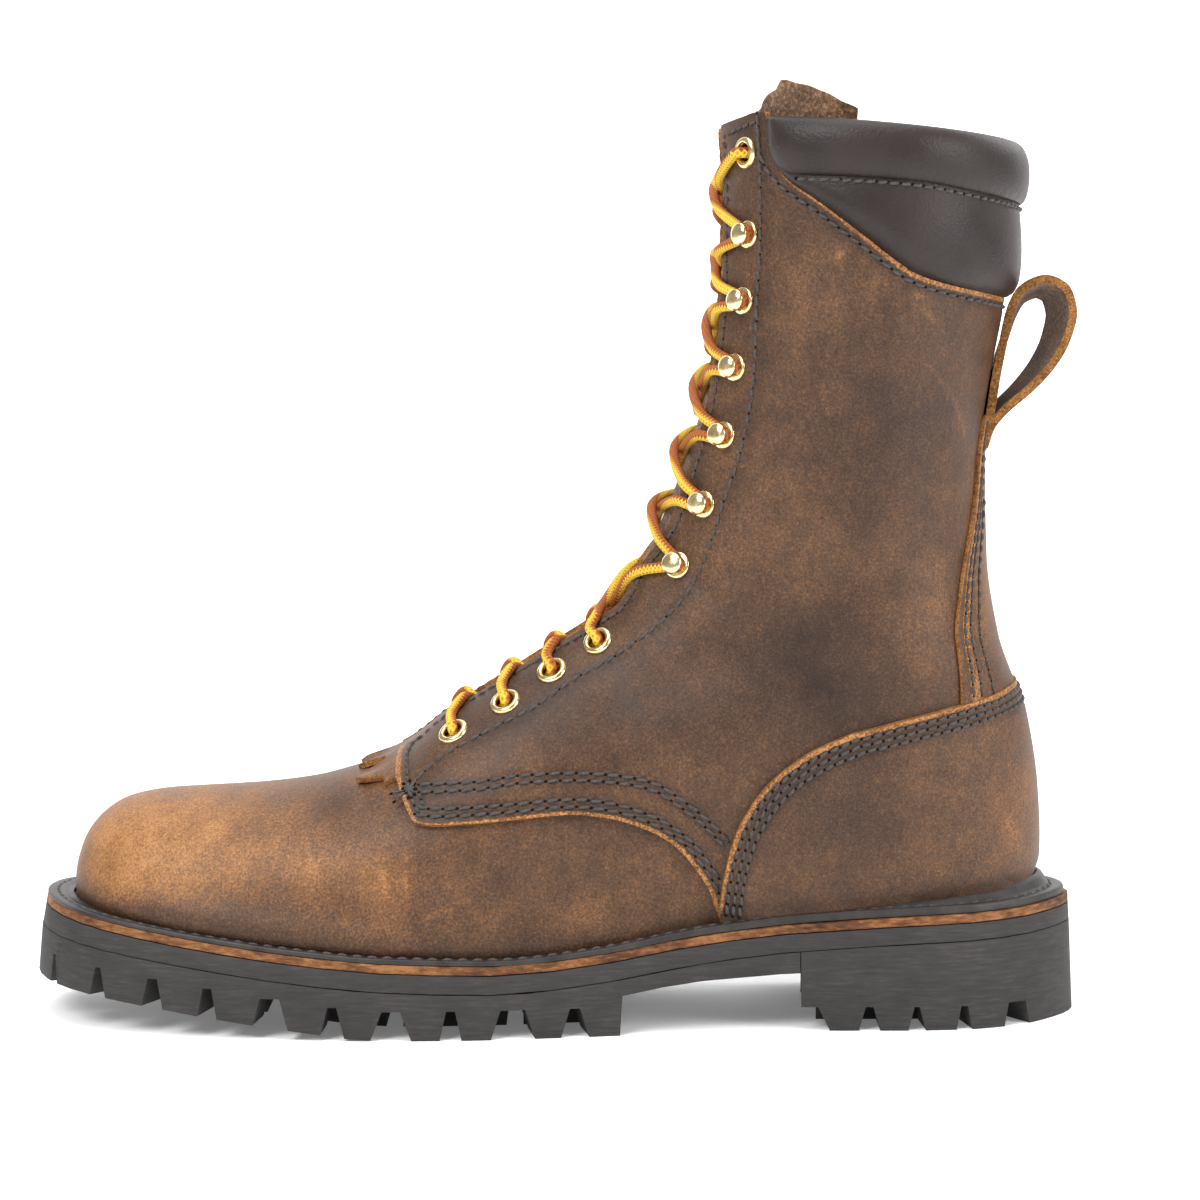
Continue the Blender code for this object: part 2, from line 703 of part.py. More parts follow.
def add_upper():
    """The hollow upper, and the leather panels laid over it."""
    half_reach = 90
    behind = 170
    top = 300
    stations = list(range(COLLAR_STATION + 1))
    upper = skin_surface("upper", stations, 0.0, "brown_leather")
    thicken(upper, WALL, outwards=False)

    panel = sampled(QUARTER_FRONT, 26) + overlay_floor(50, behind, 10) + [(behind, QUARTER_TOP[0][1])]
    panel += sampled(QUARTER_TOP, 14)
    panel += [(QUARTER_TOP[-1][0] - 0.5, top), (0, top), (QUARTER_FRONT[0][0], 130)]
    for name, low, high in (("lateral", -half_reach, -GAP), ("medial", GAP, half_reach)):
        quarter = skin_surface("quarter_" + name, stations[8:], QUARTER_LIFT, "brown_leather", TAB_GAP)
        thicken(quarter, LEATHER, outwards=True)
        cut(quarter, prism("quarter_outline_" + name, panel, "xz", low, high), "INTERSECT")

    pocket = sampled(COUNTER_EDGE, 18)
    floor = overlay_floor(pocket[0][0], behind, 10)
    pocket = [point for point in pocket if point[1] > floor[0][1]]
    counter = skin_surface("counter", stations[12:22], COUNTER_LIFT, "brown_leather")
    thicken(counter, LEATHER, outwards=True)
    outline = pocket + [(behind, pocket[-1][1])] + floor[::-1]
    cut(counter, prism("counter_outline", outline, "xz", -half_reach, half_reach), "INTERSECT")

    backstay = skin_surface("backstay", stations[19:25], COUNTER_LIFT, "brown_leather")
    thicken(backstay, LEATHER, outwards=True)
    strip = sampled(BACKSTAY_EDGE, 12)
    above = [(x, z + 2 * GAP) for x, z in sampled(COUNTER_EDGE, 18) if x > strip[0][0] - 4]
    strip = [point for point in strip if point[1] > above[0][1] + GAP]
    outline = strip + [(behind, strip[-1][1]), (behind, above[-1][1])] + above[::-1]
    cut(backstay, prism("backstay_outline", outline, "xz", -half_reach, half_reach), "INTERSECT")


def add_collar():
    """Padded collar in two rolls, sewn along a seam and folded over the upper's top edge."""
    arounds = [row.around for row in COLLAR_ROWS]
    half = [arounds[0] + (1 - arounds[0]) * math.sin(a) for a in spread(0.0, math.pi / 2, COLLAR_STEPS)]
    columns = [-turn_of(around) for around in half] + [turn_of(around) for around in half[-2::-1]]
    heights = half + half[-2::-1]
    rings = []
    for turn, around in zip(columns, heights):
        low, seam, top = (
            float(smooth(arounds, [getattr(row, name) for row in COLLAR_ROWS], around))
            for name in ("low", "seam", "top")
        )
        rim = skin_point(COLLAR_STATION, turn)[2] + 2 * GAP
        profile = []
        for k in range(4):
            swell = math.sin(math.pi * k / 4) ** 0.7
            edge = COLLAR_EDGE + (ROLL_SEAM - COLLAR_EDGE) * k / 4
            profile.append((low + (seam - low) * k / 4, edge + (LOWER_ROLL - edge) * swell))
        for k in range(6):
            swell = math.sin(math.pi * k / 6) ** 0.7
            profile.append((seam + (top - seam) * k / 6, ROLL_SEAM + (UPPER_ROLL - ROLL_SEAM) * swell))
        lining = -WALL + GAP
        profile += [(top, COLLAR_TOP_EDGE), (top - 2 * GAP, lining)]
        profile += [(rim, lining), (rim, COLLAR_LIFT), (low, COLLAR_LIFT)]
        rings.append([skin(station_at(turn, height), turn, lift) for height, lift in profile])
    loft("collar", rings, "black_leather")


def add_tongue():
    """Gusset tongue under the throat, with its top standing over the collar."""
    width_stations = [row[0] for row in TONGUE_WIDTH]
    widths = [row[1] for row in TONGUE_WIDTH]
    top_turns = [row[0] for row in TONGUE_TOP]
    tops = [row[1] for row in TONGUE_TOP]
    first = THROAT_START + 0.2
    rings = []
    for v in spread(0.0, 1.0, TONGUE_ROWS):
        outside = []
        inside = []
        for u in spread(-1.0, 1.0, TONGUE_COLUMNS):
            top_turn = u * widths[-1]
            last = station_at(top_turn, float(smooth(top_turns, tops, abs(top_turn))))
            station = first + (last - first) * v
            turn = u * float(smooth(width_stations, widths, station))
            outside.append(skin(station, turn, TONGUE_LIFT))
            inside.append(skin(station, turn, TONGUE_LIFT - TONGUE_THICKNESS))
        rings.append(outside + inside[::-1])
    loft("tongue", rings, "lining")


def add_kiltie():
    """False tongue over the vamp, whose cut tips show in front of the lacing."""
    fringe = [(-row.across, row.front, row.back) for row in KILTIE_FRINGE[:0:-1]] + list(KILTIE_FRINGE)
    rings = []
    for v in spread(0.0, 1.0, KILTIE_ROWS):
        outside = []
        inside = []
        for across, front, back in fringe:
            station = front + (back - front) * v
            outside.append(skin(station, across * KILTIE_TURN, QUARTER_LIFT + GAP + KILTIE_THICKNESS))
            inside.append(skin(station, across * KILTIE_TURN, QUARTER_LIFT + GAP))
        rings.append(outside + inside[::-1])
    loft("kiltie", rings, "brown_leather")


def add_pull_loop():
    """Leather strap that runs up the back and folds over into a loop."""
    points = [np.array(point) for point in sampled(LOOP_PATH, 22)]
    rings = []
    for k, point in enumerate(points):
        along = points[min(k + 1, len(points) - 1)] - points[max(k - 1, 0)]
        along /= np.linalg.norm(along)
        across = np.array([-along[1], along[0]]) * LOOP_THICKNESS / 2
        rings.append([
            (point[0] + sign * across[0], y * LOOP_WIDTH / 2, point[1] + sign * across[1])
            for sign, y in ((1, -1), (-1, -1), (-1, 1), (1, 1))
        ])
    loft("pull_loop", rings, "brown_leather")


def place_of(x, z):
    """Station and turn of the skin seen at a place (x, z) in the side view, on the front half."""
    low = float(THROAT_START - 1)
    high = float(STATIONS[-1])
    for _ in range(40):
        middle = (low + high) / 2
        fx, fz, ex, ez, *_ = smooth(STATIONS, LAST, middle)
        if (ex - fx) * (z - fz) - (ez - fz) * (x - fx) > 0:
            low = middle
        else:
            high = middle
    fx, fz, ex, ez, widest, *_ = smooth(STATIONS, LAST, low)
    run = math.hypot(x - fx, z - fz) / math.hypot(ex - fx, ez - fz)
    return low, math.acos(max(-1.0, 1 - run / widest)) * 2 / math.pi


def seated(obj, x, z, side, clearance):
    """Stands an object on the quarter at a place in the side view, along the leather's normal."""
    station, turn = place_of(x, z)
    point = skin(station, side * turn, QUARTER_LIFT + LEATHER + clearance)
    turned_up = Vector(skin_normal(station, side * turn)).to_track_quat("Z", "Y")
    obj.matrix_world = Matrix.Translation(Vector(point) * MM) @ turned_up.to_matrix().to_4x4()


def turned(name, profile, finish, steps):
    """Solid of revolution about z from a profile of (radius, z), listed from the top down."""
    shape = bmesh.new()
    line = [shape.verts.new((radius, 0, z)) for radius, z in profile]
    edges = [shape.edges.new(pair) for pair in zip(line, line[1:])]
    bmesh.ops.spin(shape, geom=line + edges, cent=(0, 0, 0), axis=(0, 0, 1), angle=2 * math.pi, steps=steps)
    bmesh.ops.remove_doubles(shape, verts=shape.verts, dist=1e-3)
    bmesh.ops.recalc_face_normals(shape, faces=shape.faces)
    return add_object(name, mesh_from(name, shape), finish)


def add_hardware():
    """Eyelets and lace hooks on both quarters."""
    head_foot = HOOK_BASE_HEIGHT + HOOK_THROAT
    hook_profile = (
        (0.0, head_foot + HOOK_HEAD_HEIGHT),
        (0.65 * HOOK_HEAD, head_foot + 0.8 * HOOK_HEAD_HEIGHT),
        (HOOK_HEAD, head_foot + 0.35 * HOOK_HEAD_HEIGHT),
        (0.9 * HOOK_HEAD, head_foot),
        (HOOK_NECK, head_foot),
        (HOOK_NECK, HOOK_BASE_HEIGHT),
        (HOOK_BASE, HOOK_BASE_HEIGHT),
        (HOOK_BASE, 0.0),
        (0.0, 0.0),
    )
    for side, word in ((-1, "lateral"), (1, "medial")):
        for number, (x, z) in enumerate(EYELETS, 1):
            bead = spread(0.0, 2 * math.pi, 4)
            height = EYELET_BEAD * EYELET_FLATNESS
            profile = [(EYELET_RADIUS + EYELET_BEAD * math.sin(a), height * (1 + math.cos(a))) for a in bead]
            eyelet = turned(f"eyelet_{word}_{number}", profile, "brass", 8)
            seated(eyelet, x, z, side, GAP)
        for number, (x, z) in enumerate(HOOKS, 1):
            hook = turned(f"hook_{word}_{number}", hook_profile, "brass", 6)
            seated(hook, x, z, side, GAP)


def tube(name, points, finish):
    """Mesh of a round cord along a run of points, welded where its caps meet its sides."""
    curve = bpy.data.curves.new(name + "_path", "CURVE")
    curve.dimensions = "3D"
    curve.bevel_depth = LACE_DIAMETER / 2 * MM
    curve.bevel_resolution = 1
    curve.use_fill_caps = True
    spline = curve.splines.new("POLY")
    spline.points.add(len(points) - 1)
    for knot, point in zip(spline.points, points):
        knot.co = (*(point * MM), 1.0)
    guide = bpy.data.objects.new(name + "_path", curve)
    cutters.objects.link(guide)
    graph = bpy.context.evaluated_depsgraph_get()
    mesh = bpy.data.meshes.new_from_object(guide.evaluated_get(graph))
    bpy.data.objects.remove(guide)
    shape = bmesh.new()
    shape.from_mesh(mesh)
    bmesh.ops.remove_doubles(shape, verts=shape.verts, dist=1e-6)
    bmesh.ops.recalc_face_normals(shape, faces=shape.faces)
    shape.to_mesh(mesh)
    shape.free()
    mesh.name = name
    return add_object(name, mesh, finish)


def wrap_points(place, side):
    """Points of the lace round the back of one eyelet or hook, from below to above."""
    station, turn = place
    centre = skin(station, side * turn, LACE_LIFT)
    normal = skin_normal(station, side * turn)
    back = skin(station, side * (turn + 0.05), LACE_LIFT) - centre
    back -= normal * (back @ normal)
    back /= np.linalg.norm(back)
    up = skin_point(station + 0.05, side * turn) - skin_point(station, side * turn)
    up -= normal * (up @ normal) + back * (up @ back)
    up /= np.linalg.norm(up)
    return [
        centre + LACE_WRAP * (back * math.cos(a) + up * math.sin(a))
        for a in spread(-math.pi / 2, math.pi / 2, 3)
    ]


def strand(places, first_side):
    """One end of the lace, from side to side up the throat."""
    points = []
    side = first_side
    before = None
    for place in places:
        if before is not None:
            for k in range(1, LACE_STEPS):
                t = k / LACE_STEPS
                station = before[0] + (place[0] - before[0]) * t
                turn = -side * before[1] + (side * place[1] + side * before[1]) * t
                points.append(skin(station, turn, LACE_LIFT))
        points += wrap_points(place, side)
        before = place
        side = -side
    return points


def add_lace():
    """Criss-cross lacing: two strands and the bar between the lowest eyelets, joined into one solid."""
    places = [place_of(x, z) for x, z in EYELETS[:-1] + HOOKS + EYELETS[-1:]]
    lace = tube("lace", strand(places, -1), "lace")
    cut(lace, tube("lace_other_strand", strand(places, 1), None), "UNION")
    station, turn = places[0]
    bar = [skin(station - 0.1, turn * t, LACE_LIFT) for t in spread(-1.0, 1.0, 2 * LACE_STEPS)]
    cut(lace, tube("lace_bar", bar, None), "UNION")


def settle():
    """Moves the boot under one empty so that its origin is the middle of its box, on the floor."""
    bpy.context.view_layer.update()
    graph = bpy.context.evaluated_depsgraph_get()
    corners = []
    for obj in boot.objects:
        shown = obj.evaluated_get(graph)
        corners += [shown.matrix_world @ Vector(corner) for corner in shown.bound_box]
    frame = bpy.data.objects.new("boot_frame", None)
    boot.objects.link(frame)
    middle = [(min(c[k] for c in corners) + max(c[k] for c in corners)) / 2 for k in (0, 1)]
    frame.location = (-middle[0], -middle[1], -min(c.z for c in corners))
    for obj in list(boot.objects) + list(cutters.all_objects):
        if obj is not frame:
            obj.parent = frame


for old in list(bpy.data.objects):
    bpy.data.objects.remove(old)
boot = bpy.data.collections.new("lace_up_boot")
cutters = bpy.data.collections.new("cutters")
bpy.context.scene.collection.children.link(boot)
bpy.context.scene.collection.children.link(cutters)

add_sole()
add_upper()
add_collar()
add_tongue()
add_kiltie()
add_pull_loop()
add_hardware()
add_lace()
settle()
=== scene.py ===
import math

import bpy
import numpy as np
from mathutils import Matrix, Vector


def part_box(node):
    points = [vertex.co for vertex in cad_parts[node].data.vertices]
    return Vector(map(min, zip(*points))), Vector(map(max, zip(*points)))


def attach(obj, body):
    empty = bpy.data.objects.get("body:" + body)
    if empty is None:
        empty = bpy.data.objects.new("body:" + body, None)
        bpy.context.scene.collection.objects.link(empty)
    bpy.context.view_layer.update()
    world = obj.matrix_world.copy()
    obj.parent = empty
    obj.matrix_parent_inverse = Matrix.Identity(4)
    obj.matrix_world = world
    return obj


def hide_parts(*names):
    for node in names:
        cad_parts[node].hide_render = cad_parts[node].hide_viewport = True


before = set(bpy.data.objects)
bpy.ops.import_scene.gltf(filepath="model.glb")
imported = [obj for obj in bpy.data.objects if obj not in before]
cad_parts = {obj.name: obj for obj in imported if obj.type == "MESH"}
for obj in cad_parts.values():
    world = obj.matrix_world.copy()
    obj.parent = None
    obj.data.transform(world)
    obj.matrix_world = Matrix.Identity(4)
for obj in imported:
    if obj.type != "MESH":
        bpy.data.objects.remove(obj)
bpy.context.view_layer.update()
bpy.ops.object.select_all(action="DESELECT")

mm = 0.001
outsoleOuterEdge = -54.5  # y of the outsole's outer edge in the tables below, mm
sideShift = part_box("outsole")[0].y / mm - outsoleOuterEdge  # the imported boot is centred, the tables are not
print("frame loaded, tables shifted sideways by %.2f mm" % sideShift)


# the last, in mm: x from toe to heel, y from the outer to the inner side, z up
last = {
    # front x, front z, end x, end z (None: on the feather edge), bulge, widest at, ridge y, half the throat
    "sections": (
        (-146.0, 42.0, -146, None, 0.0, 0.75, 3.0, 0),
        (-144.0, 50.7, -144, None, 0.6, 0.75, 3.0, 0),
        (-138.0, 59.2, -138, None, 0.9, 0.75, 2.8, 0),
        (-129.5, 64.2, -129.5, None, 1.0, 0.75, 2.6, 0),
        (-118.0, 66.4, -118, None, 1.0, 0.75, 2.4, 0),
        (-106.0, 67.2, -106, None, 1.0, 0.75, 2.0, 0),
        (-90.0, 68.2, -90, None, 1.0, 0.75, 1.6, 0),
        (-73.0, 70.4, -73, None, 1.0, 0.74, 1.2, 0),
        (-59.0, 75.0, -58, None, 1.0, 0.72, 0.8, 0),
        (-46.0, 82.0, -43, None, 1.0, 0.70, 0.4, 0),
        (-31.0, 92.5, -25, None, 0.8, 0.66, 0.0, 8.0),
        (-15.0, 102.5, -4, None, 0.8, 0.62, 0.0, 9.0),
        (0.0, 111.5, 20, None, 1.0, 0.60, 0.0, 9.5),
        (11.0, 119.0, 52, None, 3.0, 0.58, 0.0, 10.0),
        (18.5, 127.0, 92, None, 7.0, 0.55, 0.0, 13.0),
        (22.5, 135.5, 126, None, 14.5, 0.53, 0.0, 12.8),
        (25.5, 142.0, 138, None, 25.5, 0.52, 0.0, 14.0),
        (27.3, 146.0, 142.8, 36.0, 38.0, 0.51, 0.0, 14.9),
        (28.8, 149.5, 143.0, 52.0, 37.8, 0.51, 0.0, 15.5),
        (30.5, 153.5, 142.2, 68.0, 37.6, 0.51, 0.0, 16.5),
        (33.0, 159.5, 138.6, 90.0, 37.6, 0.51, 0.0, 17.0),
        (36.5, 169.0, 130.4, 114.0, 37.8, 0.52, 0.0, 17.5),
        (40.5, 181.5, 126.6, 139.0, 38.4, 0.53, 0.0, 18.0),
        (44.5, 197.0, 126.0, 166.0, 40.0, 0.54, 0.0, 18.0),
        (47.5, 214.0, 129.0, 193.0, 42.0, 0.55, 0.0, 17.0),
        (50.0, 232.0, 133.2, 219.0, 43.6, 0.55, 0.0, 13.0),
        (51.0, 250.0, 134.2, 239.0, 44.6, 0.55, 0.0, 11.0),
        (50.5, 267.0, 134.0, 257.0, 45.0, 0.55, 0.0, 9.5),
        (49.5, 290.0, 133.6, 281.0, 45.2, 0.55, 0.0, 9.5),
    ),
    # x, outer y, inner y
    "featherEdge": (
        (-146, 3, 3), (-144, -9, 14), (-138, -20.5, 24), (-129.5, -29, 31.5), (-118, -35.5, 36.5),
        (-106, -39.5, 39.5), (-75, -44.5, 41.5), (-50, -45.5, 41), (-25, -44.5, 38), (0, -41, 33.5),
        (25, -36.5, 29.5), (50, -33, 27), (75, -31.5, 27.5), (100, -30.5, 28.5), (120, -26.5, 26),
        (133, -18.5, 19), (140, -10, 10), (143, 0, 0),
    ),
    "soleEdge": (
        (-158, 3, 3), (-154, -16, 22), (-146, -29, 33), (-135, -38, 40.5), (-120, -44.5, 45.5),
        (-100, -50, 49), (-75, -53.5, 50.5), (-50, -54.5, 50), (-25, -53.5, 47), (0, -50, 42),
        (25, -45.5, 37), (50, -41.5, 34.5), (75, -39.5, 35), (100, -39.5, 37.5), (120, -38, 37.5),
        (138, -31, 32), (150, -19, 20.5), (158, 0, 0),
    ),
    # x, height of the feather edge, height of the welt's rim over it
    "levels": (
        (-158, 36.1, 3.6), (-140, 33.3, 3.4), (-120, 30.3, 3.2), (-104, 28.1, 3.0), (-75, 24.5, 3.0),
        (-50, 22.3, 3.0), (-15, 21.3, 3.0), (13, 23.7, 3.0), (43, 28.5, 3.0), (73, 31.7, 3.2),
        (102, 33.6, 3.8), (130, 34.7, 5.6), (158, 35.7, 7.6),
    ),
    "instep": 10.0,  # station from which the shaft is searched
    "collarStation": 27,
}


def unit(vectors):
    return vectors / np.maximum(np.linalg.norm(vectors, axis=-1, keepdims=True), 1e-12)


def lengthAlong(points):
    # distance from a line's first point to each of its points
    return np.concatenate([[0], np.cumsum(np.linalg.norm(np.diff(points, axis=0), axis=1))])


def matched(*values):
    return np.broadcast_arrays(*[np.asarray(value, float) for value in values])


def halving(low, high, stillTrue, rounds=40):
    # closes in on the place where a test stops being true
    for _ in range(rounds):
        middle = (low + high) / 2
        true = stillTrue(middle)
        low = np.where(true, middle, low)
        high = np.where(true, high, middle)
    return low, high


def cubicAt(x, places, values, slopes):
    k = np.clip(np.searchsorted(places, x, side="right") - 1, 0, len(places) - 2)
    span = (places[k + 1] - places[k])[..., None]
    t = (x - places[k])[..., None] / span
    rise = values[k + 1] - values[k]
    bend = t * (1 - t) * ((1 - t) * (span * slopes[k] - rise) - t * (span * slopes[k + 1] - rise))
    return values[k] + t * rise + bend


def throughRows(places, values, flatStart=()):
    # smooth curve through a table's rows, without overshoot; gives a function of arrays
    places = np.asarray(places, float)
    values = np.asarray(values, float).reshape(len(places), -1)
    steps = np.diff(values, axis=0) / np.diff(places)[:, None]
    agree = steps[:-1] * steps[1:] > 0
    total = np.where(agree, steps[:-1] + steps[1:], 1.0)
    middle = np.where(agree, 2 * steps[:-1] * steps[1:] / total, 0.0)
    slopes = np.concatenate([steps[:1], middle, steps[-1:]])
    slopes[0, list(flatStart)] = 0
    return lambda x: cubicAt(np.clip(np.asarray(x, float), places[0], places[-1]), places, values, slopes)


def curveOf(table, column=1):
    # one column of a table against its first
    at = throughRows([row[0] for row in table], [row[column] for row in table])
    return lambda x: at(x)[..., 0]


def runOf(points, count):
    # evenly spaced points on a smooth line through a few places
    points = np.asarray(points, float)
    reach = lengthAlong(points)
    return throughRows(reach, points)(np.linspace(0, reach[-1], count))


featherHeight = curveOf(last["levels"], 1)
rimRise = curveOf(last["levels"], 2)


def planEdge(edge):
    # plan outline as a function of side (-1 outer, 1 inner) and angle (0 toe tip, pi heel tip)
    rows = np.array(edge, float)
    middle = (rows[0, 0] + rows[-1, 0]) / 2
    half = (rows[-1, 0] - rows[0, 0]) / 2

    def angleAt(x):
        return np.arccos(np.clip((middle - x) / half, -1, 1))
    angles = angleAt(rows[:, 0])
    sides = {-1: throughRows(angles, rows[:, 1]), 1: throughRows(angles, rows[:, 2])}

    def place(side, a):
        return np.stack([middle - half * np.cos(a), sides[side](a)[..., 0]], -1)

    def at(side, angle, inset=0.0):
        angle = np.asarray(angle, float)
        inset = np.broadcast_to(inset, angle.shape)
        step = 1e-3
        along = place(side, np.minimum(angle + step, np.pi)) - place(side, np.maximum(angle - step, 0))
        along = unit(along)
        inward = side * np.stack([along[..., 1], -along[..., 0]], -1)
        tip = (angle < 1e-6)[..., None]
        heel = (angle > np.pi - 1e-6)[..., None]
        inward = np.where(tip, (1.0, 0.0), np.where(heel, (-1.0, 0.0), inward))
        return place(side, angle) + inset[..., None] * inward
    return at, angleAt


soleOutline = planEdge(last["soleEdge"])[0]
featherOutline, featherAngle = planEdge(last["featherEdge"])


def lastColumns():
    rows = []
    for frontX, frontZ, endX, endZ, bulge, widest, ridge, gap in last["sections"]:
        ends = [0.0, 0.0]
        if endZ is None:
            endZ = float(featherHeight(endX))
            angle = featherAngle(endX)
            ends = [side * (featherOutline(side, angle)[1] - ridge) for side in (-1, 1)]
        rows.append([frontX, frontZ, endX, endZ, widest, ridge, gap, *ends, ends[0] + bulge, ends[1] + bulge])
    return rows


stationCount = len(last["sections"])
lastAt = throughRows(range(stationCount), lastColumns(), flatStart=(0, 2))  # the toe's tip is round


def sectionAt(station):
    return np.moveaxis(lastAt(station), -1, 0)


def skinPoint(station, turn):
    # turn: 0 on the ridge, 1 at the widest place, 2 at the section's end; negative on the outer side
    station, turn = matched(station, turn)
    row = sectionAt(station)
    frontX, frontZ, endX, endZ, widest, ridge = row[:6]
    side = np.where(turn < 0, -1.0, 1.0)
    turn = np.abs(turn)
    end = np.where(side < 0, row[7], row[8])
    wide = np.where(side < 0, row[9], row[10])
    wrapped = (turn > 2) & (end < 1e-6)
    side = np.where(wrapped, -side, side)
    turn = np.where(wrapped, 4 - turn, np.minimum(turn, 2))
    front = turn <= 1
    angle = np.where(front, turn, turn - 1) * np.pi / 2
    run = np.where(front, widest * (1 - np.cos(angle)), widest + (1 - widest) * np.sin(angle))
    power = 1 + end / np.maximum(wide, 1e-6)
    rear = end + (wide - end) * np.maximum(np.cos(angle), 0) ** power
    half = np.where(front, wide * np.sin(angle), rear)
    return np.stack([frontX + (endX - frontX) * run, ridge + side * half, frontZ + (endZ - frontZ) * run], -1)


def skinNormal(station, turn):
    station, turn = matched(station, turn)
    step = 1e-3
    top = stationCount - 1
    along = skinPoint(np.minimum(station + step, top), turn) - skinPoint(np.maximum(station - step, 0), turn)
    around = skinPoint(station, turn + step) - skinPoint(station, turn - step)
    normal = unit(np.cross(along, around))
    row = sectionAt(station)
    heart = np.stack([row[0] + (row[2] - row[0]) * row[4], row[5], row[1] + (row[3] - row[1]) * row[4]], -1)
    away = np.sum(normal * (skinPoint(station, turn) - heart), -1, keepdims=True)
    normal = np.where(away > 0, normal, -normal)
    return np.where((station < step)[..., None], (-1.0, 0.0, 0.0), normal)


# soft troughs (negative) and ridges of the leather, as seen from the side:
# from x, z to x, z, half width, height in mm
creases = (
    (18, 96, 70, 118, 8.0, -0.9),
    (30, 84, 84, 104, 7.0, 0.6),
    (44, 128, 98, 136, 9.0, -0.7),
    (52, 150, 112, 146, 10.0, 0.5),
    (60, 176, 118, 186, 12.0, -0.5),
    (-70, 62, -60, 36, 5.0, -0.5),
    (-58, 60, -47, 34, 5.0, 0.35),
    (-48, 56, -34, 34, 4.5, -0.45),
    (88, 60, 128, 72, 10.0, -0.35),
)


# how far the upper swells out over the welt: x, mm
overWelt = (
    (-146, 0.6), (-138, 1.5), (-120, 3.0), (-100, 3.6), (-50, 3.2), (-10, 2.4), (20, 1.2), (50, 0.0),
    (150, 0.0),
)
overWeltBand = (5, 6)  # its middle over the feather edge, and half its height
# places where the instep lies lower than the last: x, half length, half width, mm
sunken = ((-46, 13, 26, -2.4), (-22, 20, 26, -1.8))


def besideRun(flat, x0, z0, x1, z1):
    # share of the way along a straight run in the side view, and distance from it
    start = np.array((x0, z0), float)
    run = np.array((x1 - x0, z1 - z0), float)
    t = np.clip(((flat - start) @ run) / (run @ run), 0, 1)
    return t, np.linalg.norm(flat - start - t[..., None] * run, axis=-1)


def creaseLift(points):
    above = points[..., 2] - featherHeight(points[..., 0])
    middle, half = overWeltBand
    lift = curveOf(overWelt)(points[..., 0]) * np.exp(-((above - middle) / half) ** 2)
    for x, length, width, height in sunken:
        lift += height * np.exp(-((points[..., 0] - x) / length) ** 2 - (points[..., 1] / width) ** 2)
    for *ends, width, height in creases:
        t, away = besideRun(points[..., (0, 2)], *ends)
        fading = 0.35 + 0.65 * np.sin(np.pi * np.clip(t, 0.08, 0.92))
        lift += height * np.exp(-(away / width) ** 2) * fading
    return lift


def skin(station, turn, lift=0.0, creased=True):
    point = skinPoint(station, turn)
    rise = np.asarray(lift, float) + (creaseLift(point) if creased else 0.0)
    return point + rise[..., None] * skinNormal(station, turn)


def turnFor(run, widest):
    # turn at a share of the way from a section's front to its end
    front = np.arccos(np.clip(1 - run / widest, -1, 1)) * 2 / np.pi
    rear = 1 + np.arcsin(np.clip((run - widest) / (1 - widest), 0, 1)) * 2 / np.pi
    return np.where(run <= widest, front, rear)


def turnBeside(half, wide):
    # turn at half a gap's width from the ridge
    return np.arcsin(np.clip(half / np.maximum(wide, 1e-6), 0, 1)) * 2 / np.pi


def throatTurn(station):
    row = sectionAt(station)
    return turnBeside(row[6], row[9])


def placeOf(x, z):
    # station and turn of the skin that a place in the side view shows
    x, z = matched(x, z)

    def above(station):
        row = sectionAt(station)
        return (row[2] - row[0]) * (z - row[1]) - (row[3] - row[1]) * (x - row[0]) > 0
    station = halving(np.zeros(x.shape), np.full(x.shape, stationCount - 1.0), above)[0]
    row = sectionAt(station)
    run = np.hypot(x - row[0], z - row[1]) / np.hypot(row[2] - row[0], row[3] - row[1])
    return station, turnFor(run, row[4])


def stationAt(turn, height):
    # station on the shaft where the skin reaches this height at this turn
    turn, height = matched(turn, height)
    low, high = halving(
        np.full(turn.shape, last["instep"]), np.full(turn.shape, stationCount - 1.0),
        lambda station: skinPoint(station, turn)[..., 2] < height)
    return (low + high) / 2


def inBoot(points):
    # the tables' millimetres to the boot's own metres
    return (np.asarray(points, float) + (0, sideShift, 0)) * mm


print("last ready: %d sections" % stationCount)


# small helpers for the finishes' nodes

def addNode(tree, kind, inputs, **settings):
    node = tree.nodes.new("ShaderNode" + kind)
    for name, value in settings.items():
        setattr(node, name, value)
    for socket, value in inputs.items():
        if isinstance(value, bpy.types.NodeSocket):
            tree.links.new(value, node.inputs[socket])
        else:
            node.inputs[socket].default_value = value
    return node


def newFinish(name, roughness=0.5, metallic=0.0, specular=0.5):
    finish = bpy.data.materials.new(name)
    finish.use_nodes = True
    shader = finish.node_tree.nodes["Principled BSDF"]
    shader.inputs["Roughness"].default_value = roughness
    shader.inputs["Metallic"].default_value = metallic
    shader.inputs["Specular IOR Level"].default_value = specular
    return finish, finish.node_tree, shader


def calc(tree, operation, first, second=0.0):
    return addNode(tree, "Math", {0: first, 1: second}, operation=operation).outputs[0]


def objectPlace(tree, scale=(1, 1, 1), turn=(0, 0, 0)):
    coordinates = addNode(tree, "TexCoord", {}).outputs["Object"]
    return addNode(tree, "Mapping", {"Vector": coordinates, "Scale": scale, "Rotation": turn}).outputs[0]


def noise(tree, place, scale, detail=4.0, roughness=0.55):
    settings = {"Vector": place, "Scale": scale, "Detail": detail, "Roughness": roughness}
    return addNode(tree, "TexNoise", settings).outputs["Fac"]


def cells(tree, place, scale):
    return addNode(tree, "TexVoronoi", {"Vector": place, "Scale": scale}).outputs["Distance"]


def attribute(tree, name):
    return addNode(tree, "Attribute", {}, attribute_name=name).outputs["Fac"]


